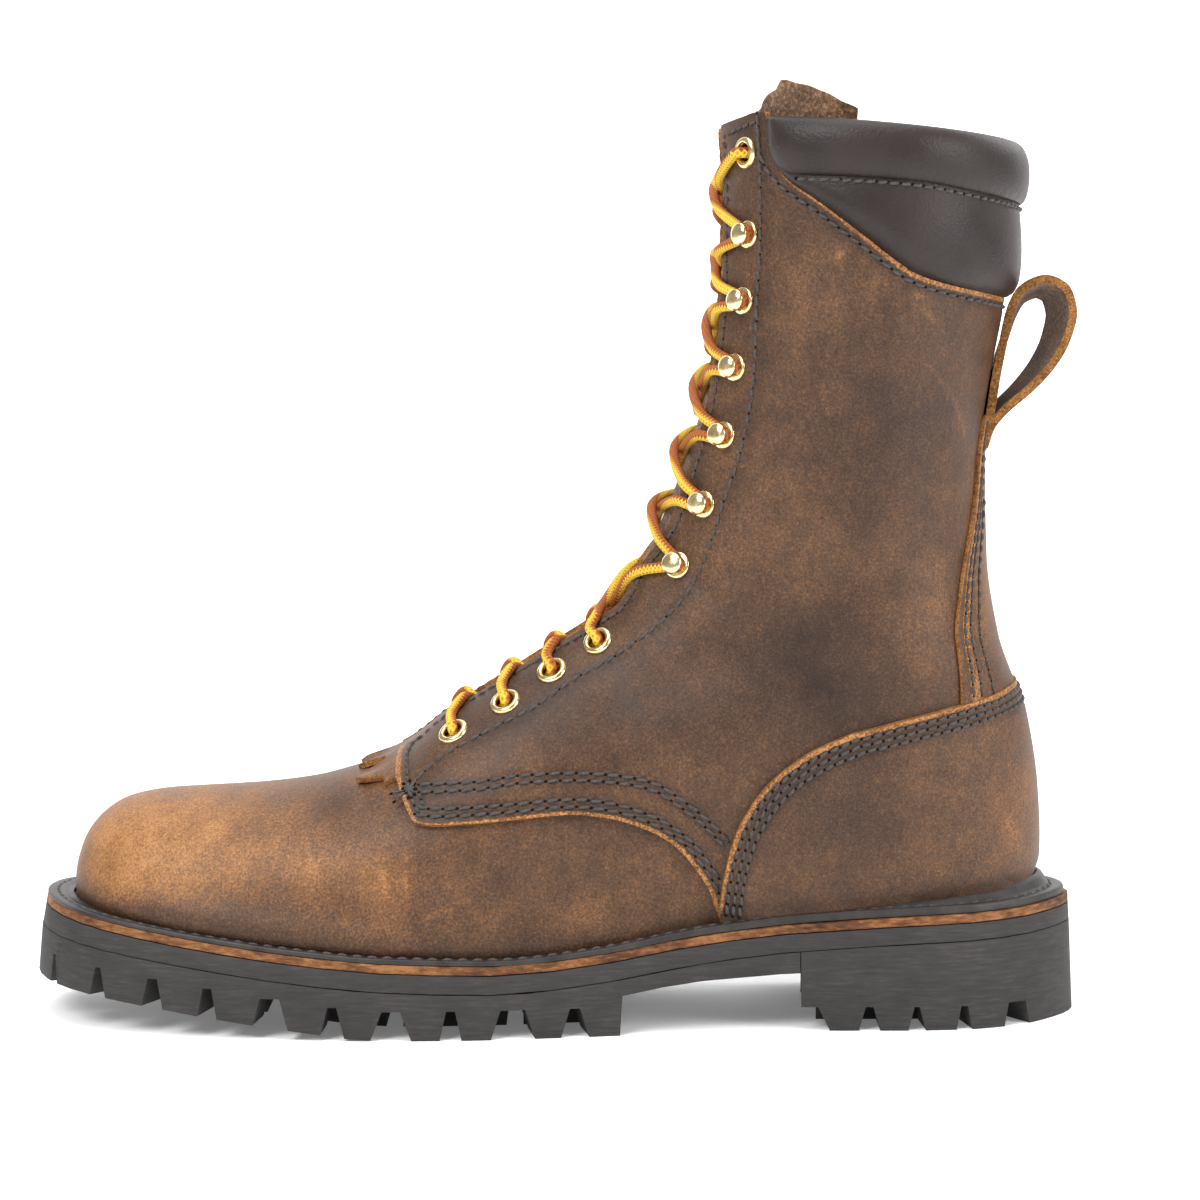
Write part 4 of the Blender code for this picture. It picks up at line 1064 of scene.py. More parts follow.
def heelChart(side):
    # turn of the skin for a direction round the heel and a height
    heights = np.linspace(28, 112, 64)
    turns = np.linspace(0.5, 2.0, 150)
    points = skinPoint(stationAt(side * turns[None], heights[:, None]), side * turns[None])
    directions = np.arctan2(np.abs(points[..., 1]), points[..., 0] - counterShape["middle"])

    def turnAt(direction, height):
        row = np.clip((height - heights[0]) / (heights[1] - heights[0]), 0, len(heights) - 1.001)
        k = int(row)
        low, high = [np.interp(direction, directions[i][::-1], turns[::-1]) for i in (k, k + 1)]
        return low + (high - low) * (row - k)
    return np.vectorize(turnAt)


def makeCounter():
    halves = []
    for side in (-1, 1):
        turnAt = heelChart(side)
        station, turn = fromSide(runOf(counterShape["edge"], 900))
        edge = runOf(skinPoint(station, side * turn), counterShape["columns"])
        direction = np.arctan2(np.abs(edge[:, 1]), edge[:, 0] - counterShape["middle"])
        direction[-1] = 0
        height = edge[:, 2]
        lowDirection = np.linspace(direction[0], 0, counterShape["columns"])
        lowTurn = side * turnAt(lowDirection, counterShape["low"])
        lowX = skinPoint(stationAt(lowTurn, counterShape["low"]), lowTurn)[:, 0]
        rim = featherHeight(lowX) + rimRise(lowX)
        lowHeight = rim - counterShape["sink"]
        v = np.linspace(0, 1, counterShape["rows"])[:, None]
        heights = lowHeight + (height - lowHeight) * v
        turns = side * turnAt(lowDirection + (direction - lowDirection) * v, heights)
        stations = stationAt(turns, heights)
        depth, upTo = counterShape["pinch"]
        pinch = depth * np.exp(-(np.maximum(heights - rim, 0) / upTo) ** 2)
        points = drawnIn(stations, turns, layers["counterTop"] - pinch, "counter")
        points[:, -1, 1] = 0
        halves.append(gridSheet("counterHalf", points, skinNormal(stations, turns)))
    counter = joinSheets("counterPanel", halves)
    inEditMode(counter, mergePoints())
    wall = layers["counterTop"] - layers["counterUnder"]
    finishLeather(counter, wall, "counter", tone=-0.02, panel="counter")
    paintEdge(counter, awayFrom(placesOf(counter), counterShape["edge"]))


makeCounter()


def makeBackstay():
    bottom, top = backstayShape["halfWidths"][0][0], backstayShape["halfWidths"][-1][0]
    height = np.linspace(bottom, top, backstayShape["rows"])[:, None]
    turn = backTurn(height)
    turns = -(turn + (4 - 2 * turn) * np.linspace(0, 1, backstayShape["columns"]))
    stations = stationAt(turns, height)
    points = drawnIn(stations, turns, backstayShape["top"], "backstay")
    backstay = gridSheet("backstayStrip", points, skinNormal(stations, turns))
    wall = backstayShape["top"] - layers["counterUnder"]
    finishLeather(backstay, wall, "backstay", tone=0.02, panel="backstay")
    places = placesOf(backstay)
    besideEdge = curveOf(backstayShape["halfWidths"])(places[:, 2]) - np.abs(places[:, 1])
    paintEdge(backstay, np.minimum(np.abs(besideEdge), top - places[:, 2]))


makeBackstay()


# collar: a padded band in two rolls, with the seam between them
collarShape = {
    # share of the way round, then the heights of lower edge, seam and top
    "rows": (
        (0.14, 250.0, 256.0, 267.6), (0.18, 247.0, 254.5, 268.0), (0.25, 241.5, 251.4, 267.8),
        (0.42, 229.5, 250.6, 266.8), (0.62, 217.0, 249.2, 265.2), (0.80, 212.0, 246.4, 263.6),
        (1.00, 208.5, 243.0, 261.6),
    ),
    "widest": 0.55,
    # lifts over the last
    "lowerEdge": 1.2,
    "lowerRoll": 6.3,
    "seam": 4.9,
    "upperRoll": 8.1,
    "crown": 1.4,  # at the highest place
    "lining": -2.5,
    "liningFoot": -1.0,
    "under": -0.4,  # behind the quarter
    "liningEnd": 228.0,  # height
    # how full the lower roll is, then the upper one below and above its widest place
    "fullness": (0.7, 0.9, 0.62),
    "tuck": (1.0, 9.0),  # lift beside the quarter's cut edge, then how fast the pad swells out of it
    "blend": 5.0,  # width of the soft change from held down to free
    "columns": 190,
    "pucker": (0.06, 2.4, 6),  # height along the seam, half width, columns to each
    "stitchRow": (0.262, 1.3),  # share of the way round where the stitches start, how far under the seam
}


def collarTurns(around):
    # turns from the outer front round the back to the inner front
    turn = turnFor(around, collarShape["widest"])
    return np.concatenate([-turn, turn[-2::-1]])


def thereAndBack(values):
    return np.concatenate([values, values[-2::-1]])


def tuckedIn(station, turn, lift):
    # the pad's lift, held down where it goes under the quarter
    edge = runOf(quarterShape["top"], 900)
    along = np.gradient(edge, axis=0)
    flat = skinPoint(station, turn)[:, (0, 2)]
    apart = flat[:, None] - edge
    nearest = np.argmin(np.sum(apart ** 2, -1), 1)
    apart = apart[np.arange(len(flat)), nearest]
    side = np.sign(apart[:, 1] * along[nearest, 0] - apart[:, 0] * along[nearest, 1])
    beyond = side * np.linalg.norm(apart, axis=1)
    first, swell = collarShape["tuck"]
    outside = first + np.sqrt(swell * np.maximum(beyond, 0))
    held = np.where(beyond > 0, outside, np.maximum(first + beyond, collarShape["under"]))
    blend = collarShape["blend"]
    mix = np.clip(0.5 + (held - lift) / blend, 0, 1)
    return held + (lift - held) * mix - blend / 2 * mix * (1 - mix)


def makeCollar():
    half = np.linspace(collarShape["rows"][0][0], 1, collarShape["columns"])
    turns = collarTurns(half)
    around = thereAndBack(half)
    low, seam, top = [curveOf(collarShape["rows"], k)(around) for k in (1, 2, 3)]
    lowerFull, upperFull, crownFull = collarShape["fullness"]

    def swollen(base, roll, swell):
        return base + (roll - base) * swell

    def upperHeight(angle):
        return seam + (top - seam) * (0.5 + 0.5 * math.sin(math.radians(angle)))
    # height and lift of each row, up the outside, over the crown and down the lining
    profile = []
    for k in np.linspace(0, 1, 37)[:-1]:
        base = swollen(collarShape["lowerEdge"], collarShape["seam"], k)
        lift = swollen(base, collarShape["lowerRoll"], math.sin(math.pi * k) ** lowerFull)
        profile.append((low + (seam - low) * k, lift))
    for angle in np.linspace(-90, 90, 31)[:-1]:
        swell = math.cos(math.radians(angle)) ** (upperFull if angle < 0 else crownFull)
        base = collarShape["seam"] if angle < 0 else collarShape["crown"]
        profile.append((upperHeight(angle), swollen(base, collarShape["upperRoll"], swell)))
    for angle in np.linspace(90, 180, 9):
        swell = abs(math.cos(math.radians(angle))) ** crownFull
        profile.append((upperHeight(angle), swollen(collarShape["crown"], collarShape["lining"], swell)))
    middle = seam + (top - seam) * 0.5
    for k in (0.25, 0.5, 0.75, 1.0):
        profile.append((middle + (collarShape["liningEnd"] - middle) * k, collarShape["lining"]))
    profile.append((np.full(len(around), collarShape["liningEnd"]), collarShape["liningFoot"]))
    profile.append((low, collarShape["under"]))
    rise, width, each = collarShape["pucker"]
    puckers = rise * np.cos(np.arange(len(turns)) * 2 * np.pi / each)
    rows = []
    for height, lift in profile:
        stations = stationAt(turns, height)
        outside = lift > 0.5
        lift = lift + outside * puckers * np.exp(-((height - seam) / width) ** 2)
        rows.append(skin(stations, turns, tuckedIn(stations, turns, lift), creased=False))
    rows.append(rows[0])
    collar = gridSheet("collarPad", np.array(rows))
    inEditMode(collar, mergePoints(), fillEnds, faceOut)
    setFinishes(collar, "collar")
    smoothShade(collar, 60)
    return settlePiece(collar, "black_leather", "collar")


collar = makeCollar()


# tongue with its gusset, flesh side in
tongueShape = {
    # station, turn of its side
    "width": ((9, 0.40), (12, 0.55), (16, 0.60), (23, 0.72), (28, 0.90)),
    # turn, height
    "top": (
        (0.0, 266), (0.36, 267), (0.41, 272.5), (0.46, 275), (0.50, 276.4), (0.53, 279.0), (0.56, 278.6),
        (0.66, 276.6), (0.76, 274.4), (0.90, 269.8),
    ),
    # waves of the top edge: height, how many, start
    "ragged": ((0.2, 23, 0), (0.1, 51, 1)),
    "drop": 0.2,
    # waves of the flaps: height, how many, slant
    "waves": ((0.8, 9, 0), (0.5, 17, 1)),
    "wavesFrom": (26.4, 1.2),  # station where they start, and how soon they are full
    "start": 9.2,
    "lift": ((9, -3.2), (9.8, -5.0), (13, -5.0), (15, -3.6), (28, -3.2)),  # station, mm
    "wall": 2.0,
    "columns": 150,
    "rows": 160,
}


def makeTongue():
    across = np.linspace(-1, 1, tongueShape["columns"])
    topTurn = across * tongueShape["width"][-1][1]
    ragged = sum(height * np.sin(across * many + start) for height, many, start in tongueShape["ragged"])
    topHeight = curveOf(tongueShape["top"])(np.abs(topTurn)) + ragged - tongueShape["drop"]
    topReach = reachOf(stationAt(topTurn, topHeight))
    startReach = reachOf(tongueShape["start"])
    v = np.linspace(0, 1, tongueShape["rows"])[:, None]
    stations = stationOf(startReach + (topReach - startReach) * v)
    turns = across * curveOf(tongueShape["width"])(stations)
    wave = sum(rise * np.sin(turns * many + slant * stations) for rise, many, slant in tongueShape["waves"])
    first, length = tongueShape["wavesFrom"]
    wave *= np.clip((stations - first) / length, 0, 1)
    points = skin(stations, turns, curveOf(tongueShape["lift"])(stations) + wave)
    tongue = gridSheet("tongueFlap", points, skinNormal(stations, turns))
    setFinishes(tongue, "suede", "suede", "rawEdge")
    addWall(tongue, tongueShape["wall"], 0.35)
    smoothShade(tongue)
    settlePiece(tongue, "lining", "tongue")


makeTongue()


# kiltie: cut tips in front of the lacing
kiltieShape = {
    "turn": 0.40,
    # share of the way from the middle to the side, station of the cut edge
    "fringe": (
        (0.0, 8.75), (0.10, 8.15), (0.22, 7.95), (0.30, 8.10), (0.36, 8.62), (0.46, 8.62), (0.58, 8.12),
        (0.70, 7.98), (0.80, 8.16), (0.88, 8.64), (1.0, 8.66),
    ),
    "back": 9.9,
    "top": 1.9,
    "curl": 1.1,
    "curlFrom": 8.8,  # station
    "curls": 16,
    "wall": 1.8,
    "columns": 140,
    "rows": 26,
}


def makeKiltie():
    across = np.linspace(-1, 1, kiltieShape["columns"])
    fringe = np.interp(np.abs(across), *zip(*kiltieShape["fringe"]))
    v = np.linspace(0, 1, kiltieShape["rows"])[:, None]
    stations = fringe + (kiltieShape["back"] - fringe) * v
    turns = np.broadcast_to(across * kiltieShape["turn"], stations.shape)
    tips = np.clip(kiltieShape["curlFrom"] - stations, 0, 1)
    curl = kiltieShape["curl"] * tips * np.cos(across * kiltieShape["curls"])
    points = skin(stations, turns, kiltieShape["top"] + curl)
    kiltie = gridSheet("kiltieTips", points, skinNormal(stations, turns))
    finishLeather(kiltie, kiltieShape["wall"], "kiltie", bevel=0.25)


makeKiltie()


# pull loop: a strap folded over at the back
loopShape = {
    "path": (
        (127.6, 172), (130.2, 181), (131.9, 192), (134.0, 203), (136.0, 212), (139.6, 218.4), (146.4, 221.2),
        (152.6, 218.2), (154.6, 211), (152.6, 203), (148.4, 195.6), (141.8, 188.4), (134.6, 182.2),
        (130.4, 177), (128.4, 171),
    ),
    "width": 22.0,
    "narrowing": 4.6,  # how much smaller the loop is on its far edge
    "wall": 2.6,
    "rows": 130,
    "columns": 24,
}


def makeLoop():
    line = runOf(loopShape["path"], loopShape["rows"])
    along = unit(np.gradient(line, axis=0))
    outward = np.stack([-along[:, 1], along[:, 0]], 1)
    if outward[len(line) * 3 // 4, 0] < 0:
        outward = -outward
    line = line + outward * loopShape["wall"] / 2
    across = np.linspace(-0.5, 0.5, loopShape["columns"]) * loopShape["width"]
    run = np.linspace(0, np.pi, len(line))[:, None]
    inward = loopShape["narrowing"] * np.sin(run) ** 2 * (0.5 + across / loopShape["width"])
    points = np.zeros((len(line), len(across), 3))
    points[..., (0, 2)] = line[:, None] - inward[..., None] * outward[:, None]
    points[..., 1] = across
    normals = np.zeros(points.shape)
    normals[..., (0, 2)] = outward[:, None]
    loop = gridSheet("pullLoop", points, normals)
    finishLeather(loop, loopShape["wall"], "pull_loop", tone=0.05)


makeLoop()


# sole: the moulded pieces, with their edges rounded
soleShape = {
    "bevels": {"outsole": 0.4, "heel": 0.4, "midsole_rubber": 0.06, "midsole_leather": 0.25},
    "side": 3.2,  # depth of the band of points that make the trimmed side
    # height below the feather edge where the slope starts, slope inwards: forepart, heel
    "slopes": ((17.0, 0.17), (34.0, 0.045)),
    "heelFrom": (40, 40),  # x where the forepart's slope ends, and how far on the heel's starts
    "sliver": (67.5, 28.0, 7.0),  # in front of x, inside of y, raised to z
}


def heelward(x, start, length):
    # 0 on the forepart, 1 at the heel
    return np.clip((x - start) / length, 0, 1)


def clearSliver(heel):
    # the notch at the heel's inner front corner leaves a sliver of a lug, which is cut off level
    x, y, z = soleShape["sliver"]
    places = placesOf(heel)
    places[(places[:, 0] < x) & (places[:, 1] > y) & (places[:, 2] < z), 2] = z
    movePoints(heel, places)


def trimSide(piece):
    # gives the layers one even slope all round, as if trimmed together
    places = placesOf(piece)
    angles = np.linspace(0, np.pi, 700)
    edge = np.concatenate([soleOutline(side, angles) for side in (-1, 1)])
    inward = np.concatenate([soleOutline(side, angles, 1.0) for side in (-1, 1)]) - edge
    nearest = np.array([np.argmin(np.sum((edge - place) ** 2, 1)) for place in places[:, :2]])
    inset = np.sum((places[:, :2] - edge[nearest]) * inward[nearest], 1)
    share = heelward(places[:, 0], *soleShape["heelFrom"])
    below, slope = [a + (b - a) * share for a, b in zip(*soleShape["slopes"])]
    wanted = slope * np.clip(places[:, 2] - featherHeight(places[:, 0]) + below, 0, below)
    shift = np.where(inset < soleShape["side"], wanted - inset, 0)
    places[:, :2] += shift[:, None] * inward[nearest]
    movePoints(piece, places)


def makeSolePiece(node):
    source = bpy.data.objects[node]
    piece = source.copy()
    piece.data = source.data.copy()
    bpy.context.scene.collection.objects.link(piece)
    piece.parent = None
    piece.matrix_world = source.matrix_world
    piece.name = node + "Piece"
    pick(piece)
    bpy.ops.object.transform_apply(location=True, rotation=True, scale=True)
    inEditMode(piece, mergePoints(0.01))
    if node == "heel":
        clearSliver(piece)
    inEditMode(piece, lambda: bpy.ops.mesh.dissolve_limited(angle_limit=math.radians(1.5)), faceOut)
    trimSide(piece)
    look = "midsole" if node == "midsole_leather" else "rubber"
    setFinishes(piece, look)
    addRounding(piece, soleShape["bevels"][node], 35)
    applyAll(piece)
    smoothShade(piece, 40)
    settlePiece(piece, look, node)


for node in soleShape["bevels"]:
    makeSolePiece(node)


setFinishes(bpy.data.objects["insole"], "suede")


# welt: a flat stitched edge that rises to a rounded rim against the upper
weltShape = {
    "margin": 3.0,
    # x, height of the flat edge, share of the rim's full height
    "heights": (
        (-158, 0.8, 0.30), (-146, 0.9, 0.30), (-100, 1.2, 0.36), (0, 1.5, 0.45), (40, 1.9, 0.8),
        (80, 2.3, 1.0), (158, 2.3, 1.0),
    ),
    "clearance": (1.2, 3.4),  # from the feather edge, at the forepart and at the heel
    "heelFrom": (50, 60),
    # share of the way in, share of the way up the outer edge
    "side": ((0.0, 0.0), (0.0, 0.7), (0.03, 0.92)),
    # share of the way in, share of the way from the edge's height to the rim's, mm more
    "profile": (
        (0.09, 0, 0), (0.30, 0, 0), (0.40, 0, -0.35), (0.50, 0, -0.1), (0.60, 0.25, 0), (0.70, 0.62, 0),
        (0.80, 0.90, 0), (0.90, 1, 0), (0.97, 1, -0.25), (1.0, 1, -0.9),
    ),
    "stitches": 0.40,  # share of the way in where the stitches run
    "angles": 200,
}


weltEdge = curveOf(weltShape["heights"], 1)
weltRim = curveOf(weltShape["heights"], 2)


def makeWelt():
    rings = []
    run = np.linspace(0, np.pi, weltShape["angles"])
    for side, angles in ((-1, run), (1, run[-2:0:-1])):
        heelShare = heelward(featherOutline(side, angles)[:, 0], *weltShape["heelFrom"])
        forepart, heel = weltShape["clearance"]
        outer = soleOutline(side, angles, weltShape["margin"])
        inner = featherOutline(side, angles, -(forepart + (heel - forepart) * heelShare))
        floor = featherHeight(outer[:, 0])
        edge = floor + weltEdge(outer[:, 0])
        innerX = inner[:, 0]
        rim = featherHeight(innerX) + np.maximum(rimRise(innerX) * weltRim(innerX), weltEdge(innerX))
        # from the foot of the outer edge up, in to the rim and down
        profile = [(way, floor + share * (edge - floor)) for way, share in weltShape["side"]]
        profile += [(way, edge + share * (rim - edge) + more) for way, share, more in weltShape["profile"]]
        profile.append((1.0, floor))
        for k in range(len(angles)):
            rings.append([(*(outer[k] + (inner[k] - outer[k]) * way), height[k]) for way, height in profile])
    rings = np.array(rings + rings[:1])
    rings = np.concatenate([rings, rings[:, :1]], 1)
    welt = gridSheet("weltPiece", rings)
    inEditMode(welt, mergePoints(), faceOut)
    setFinishes(welt, "welt")
    smoothShade(welt, 45)
    settlePiece(welt, "black_leather", "welt")


makeWelt()


# eyelets and hooks, set on the quarters along the leather's normal
eyeletShape = {
    "places": quarterShape["eyelets"],
    # radius, height over the leather: up inside the barrel, over the rolled flange and back under it
    "profile": (
        (2.55, -4.2), (2.55, -0.2), (2.60, 0.3), (2.78, 0.75), (3.08, 1.06), (3.48, 1.2), (3.9, 1.16),
        (4.3, 0.96), (4.62, 0.6), (4.78, 0.15), (4.75, -0.3), (4.4, -0.6), (3.0, -0.6), (2.9, -4.2),
    ),
}
hookShape = {
    "places": ((37.7, 136), (45.7, 154.5), (51.5, 175), (55, 195), (57.4, 214.5), (58.9, 234)),
    "profile": (
        (0.02, 5.0), (0.9, 4.96), (1.7, 4.85), (2.4, 4.62), (2.95, 4.3), (3.3, 3.9), (3.4, 3.55), (3.2, 3.25),
        (1.7, 3.2), (1.1, 2.9), (1.0, 2.3), (1.1, 1.4), (1.6, 1.0), (3.4, 0.85), (3.9, 0.7), (4.1, 0.4),
        (4.05, -0.1), (0.02, -0.1),
    ),
}


def standOn(x, z, side, lift):
    # middle and axes of a thing on the leather: away from the throat, up the boot, outwards
    station, turn = placeOf(x, z)
    middle = skin(station, side * turn, lift)
    outwards = skinNormal(station, side * turn)
    away = skinPoint(station, side * (turn + 0.02)) - skinPoint(station, side * turn)
    away = unit(away - outwards * (away @ outwards))
    up = np.cross(outwards, away) * side
    if up[2] < 0:
        up = -up
    return middle, away, up, outwards


def turnedPiece(name, profile, stand, steps=32):
    middle, away, up, outwards = stand
    angles = np.linspace(0, 2 * np.pi, steps + 1)
    around = np.cos(angles)[:, None] * away + np.sin(angles)[:, None] * up
    rows = [middle + radius * around + height * outwards for radius, height in (*profile, profile[0])]
    piece = gridSheet(name, np.array(rows))
    inEditMode(piece, mergePoints(), fillEnds, faceOut)
    setFinishes(piece, "brass")
    smoothShade(piece, 60)
    return piece


for side, word in outerInner:
    for shape, kind in ((eyeletShape, "eyelet"), (hookShape, "hook")):
        for number, (x, z) in enumerate(shape["places"], 1):
            name = "%s%s%d" % (kind, word.capitalize(), number)
            piece = turnedPiece(name, shape["profile"], standOn(x, z, side, layers["quarterTop"]))
            settlePiece(piece, "brass", "%s_%s_%d" % (kind, word, number))


# lace: two strands that cross the throat from eyelet to eyelet, then from hook to hook
laceShape = {
    "diameter": 3.1,
    "under": -1.2,  # lift of the cord under the facings
    "over": 3.2,  # lift of the cord on the facings' edges
    # by what comes next: lifts of the two strands where they cross, and the share of the way to it
    "crossing": {"eyelet": (-1.5, -4.0), "hook": (0.8, -1.9), "end": (3.2, 0.5)},
    "crossAt": {"eyelet": 0.34, "hook": 0.46, "end": 0.50},
    "stepCrossAt": 0.25,  # the same between the eyelets and the hooks
    "startBelow": 3.0,  # from the lowest eyelets to the cord's hidden middle
    # places on the way through an eyelet: outwards, away from the throat, up
    "upThrough": ((-3.4, 0.3, 0), (-0.5, 0, 0), (1.6, -0.6, 0.4)),
    "downThrough": ((2.2, -2.4, -0.3), (0.9, -0.3, 0), (-2.0, 0.3, 0), (-4.0, 1.5, 0)),
    "hookRise": 2.1,  # height round the hooks' necks, over the leather
    "hookWrap": 1.8,  # radius there
    "hookAngles": (-115, -60, 0, 60, 115),
    "bow": (1.6, 0, -1.7),  # how far a strand bends aside over an eyelet: outwards, away, up
    "twist": 3.3,  # turn of the stripes where a strand leaves an eyelet or a hook
    "step": 0.7,
    "sides": 14,
    "heart": (8.0, 0.0, -4.0),  # from the cord towards the middle of the boot
    "sway": 0.5,
    "swayLength": 83.0,
}


def edgePoint(place, crossing, side, lift):
    # where the straight run between a place on the leather and a crossing meets the facing's edge
    station, turn = placeOf(*place)
    share = np.clip(1 - quarterThroat(station) / turn, 0.1, 0.9)
    station = stationOf(reachOf(station) + (crossing - reachOf(station)) * share)
    return skin(station, side * quarterThroat(station), lift)


def strandPoints(firstSide):
    # places that a strand goes through, with the turn of its stripes as a fourth column
    stops = [(place, "eyelet") for place in eyeletShape["places"][:-1]]
    stops += [(place, "hook") for place in hookShape["places"]]
    stops.append((eyeletShape["places"][-1], "end"))
    reaches = [float(reachOf(placeOf(*place)[0])) for place, kind in stops]
    crossing = reaches[0] - laceShape["startBelow"]
    points = [skin(stationOf(crossing), 0.0, laceShape["under"])]
    twist = laceShape["twist"]
    twists = [0]
    side = firstSide
    for k, (place, kind) in enumerate(stops):
        middle, away, up, outwards = standOn(*place, side, layers["quarterTop"])
        axes = np.array((outwards, away, up))
        points.append(edgePoint(place, crossing, side, laceShape["under" if kind == "eyelet" else "over"]))
        if kind == "end":
            points += [middle + offsets @ axes for offsets in np.array(laceShape["downThrough"])]
            twists += [0] * 5
            break
        if kind == "eyelet":
            points += [middle + offsets @ axes for offsets in np.array(laceShape["upThrough"])]
            twists += [twist / 2, twist, twist, twist]
        else:
            for angle in np.radians(laceShape["hookAngles"]):
                ring = away * math.cos(angle) + up * math.sin(angle)
                points.append(middle + laceShape["hookWrap"] * ring + laceShape["hookRise"] * outwards)
            twists += [0, 0, twist / 4, twist / 2, twist * 3 / 4, twist]
        onward = stops[k + 1][1]
        share = laceShape["crossAt"][onward]
        if (kind, onward) == ("eyelet", "hook"):
            share = laceShape["stepCrossAt"]
        crossing = reaches[k] + share * (reaches[k + 1] - reaches[k])
        edge = edgePoint(place, crossing, side, laceShape["over"])
        if kind == "eyelet":
            points.append((middle + edge) / 2 + np.array(laceShape["bow"]) @ axes)
            twists.append(twist)
        points.append(edge)
        lift = laceShape["crossing"][onward][(k + (firstSide > 0)) % 2]
        points.append(skin(stationOf(crossing), 0.0, lift))
        twists += [twist, twist / 2]
        side = -side
    return np.column_stack([points, twists])


def throughPoints(points, step):
    # evenly spaced points on a smooth cord through all the points, whose first three columns are its places
    gaps = np.linalg.norm(np.diff(points[:, :3], axis=0), axis=1) ** 0.5
    reach = np.concatenate([[0], np.cumsum(gaps)])
    ends = np.concatenate([2 * points[:1] - points[1:2], points, 2 * points[-1:] - points[-2:-1]])
    knots = np.concatenate([[2 * reach[0] - reach[1]], reach, [2 * reach[-1] - reach[-2]]])
    slopes = (ends[2:] - ends[:-2]) / (knots[2:] - knots[:-2])[:, None]
    line = cubicAt(np.linspace(0, reach[-1], 60 * len(points)), reach, points, slopes)
    length = lengthAlong(line[:, :3])
    marks = np.linspace(0, length[-1], int(length[-1] / step))
    return np.stack([np.interp(marks, length, column) for column in line.T], 1), length[-1]


def makeStrand(name, firstSide):
    line, length = throughPoints(strandPoints(firstSide), laceShape["step"])
    line, twist = line[:, :3], line[:, 3]
    along = unit(np.gradient(line, axis=0))
    # the stripes' border faces away from the boot, turned a little to and fro
    across = line - (line + laceShape["heart"]) * (1, 0, 1)
    across = unit(across - along * np.sum(across * along, 1, keepdims=True))
    beside = np.cross(along, across)
    angles = np.linspace(0, 2 * np.pi, laceShape["sides"] + 1)
    marks = np.linspace(0, length, len(line))
    sway = laceShape["sway"] * np.sin(marks / laceShape["swayLength"] * 2 * np.pi + firstSide)
    turned = angles[None, :] + (sway + twist)[:, None]
    radius = laceShape["diameter"] / 2
    ring = np.cos(turned)[..., None] * across[:, None] + np.sin(turned)[..., None] * beside[:, None]
    strand = gridSheet(name, line[:, None] + radius * ring)
    places = np.zeros(len(strand.data.loops) * 2)
    layer = strand.data.uv_layers.active
    layer.data.foreach_get("uv", places)
    places[1::2] *= length * mm
    layer.data.foreach_set("uv", places)
    inEditMode(strand, mergePoints(), fillEnds, faceOut)
    return strand, length


strands = [makeStrand("laceStrand", side) for side in (-1, 1)]
lace = joinSheets("laceCord", [strand for strand, length in strands])
setFinishes(lace, "lace")
smoothShade(lace, 80)
settlePiece(lace, "lace", "lace")
print("lace: %.0f mm of cord shown" % sum(length for strand, length in strands))


# thread: each stitch runs from one needle hole to the next
threadShape = {
    "radius": 0.58,
    "share": 0.96,  # length of a stitch against its step
    "slant": 9,  # degrees off the row
    "arch": 0.34,
    "sink": 0.5,
    # size of the dark specks painted at the needle holes as their shade: along, across, up
    "holeShade": (0.72, 0.58, 0.14),
    # stitches that hold the foot of the tab, and the thread's ends there: from x, z to x, z
    "tack": (
        ((-43.8, 71.4), (-40.4, 69.0)), ((-43.6, 69.0), (-40.6, 71.6)), ((-42.0, 72.4), (-42.2, 68.0)),
        ((-43.9, 70.2), (-40.2, 70.4)), ((-42.8, 69.4), (-46.4, 66.6)), ((-43.2, 69.6), (-47.4, 68.6)),
    ),
}


def roundTemplate(segments, rings):
    bpy.ops.object.select_all(action="DESELECT")
    bpy.ops.mesh.primitive_uv_sphere_add(segments=segments, ring_count=rings, radius=1)
    ball = bpy.context.object
    points = np.array([vertex.co for vertex in ball.data.vertices])
    # sorted, because a ball's faces come in another order each run
    faces = sorted(tuple(face.vertices) for face in ball.data.polygons)
    bpy.data.objects.remove(ball)
    return points, faces


def everyStep(points, normals, pitch):
    # middles, directions and normals of a row's stitches, then places and normals of its holes
    reach = lengthAlong(points)
    count = max(int(round(reach[-1] / pitch)), 1)
    marks = np.linspace(0, reach[-1], 2 * count + 1)
    places, upward = (
        np.stack([np.interp(marks, reach, column) for column in values.T], 1) for values in (points, normals))
    along = places[2::2] - places[:-2:2]
    return places[1::2], along, upward[1::2], places[::2], upward[::2]


def stitchPoints(template, middles, along, upward, thickness):
    length = np.linalg.norm(along, axis=1)[:, None, None] * threadShape["share"] / 2
    ahead = unit(along)
    beside = unit(np.cross(upward, ahead))
    slant = math.radians(threadShape["slant"])
    cos, sin = math.cos(slant), math.sin(slant)
    ahead, beside = ahead * cos + beside * sin, beside * cos - ahead * sin
    radius = threadShape["radius"] * thickness
    t = template[:, 2:3]
    rise = template[:, 1:2] * radius + threadShape["arch"] * (1 - t ** 2) - threadShape["sink"] * t ** 4
    aside = beside[:, None] * template[:, :1] * radius
    return middles[:, None] + ahead[:, None] * t * length + aside + upward[:, None] * rise


# dark flat specks on the leather where the thread goes in: painted shade of the needle holes
def holeShadePoints(template, middles, along, upward):
    ahead = unit(along)
    beside = unit(np.cross(upward, ahead))
    axes = np.stack([ahead, beside, upward], 1)
    return middles[:, None] + template * threadShape["holeShade"] @ axes


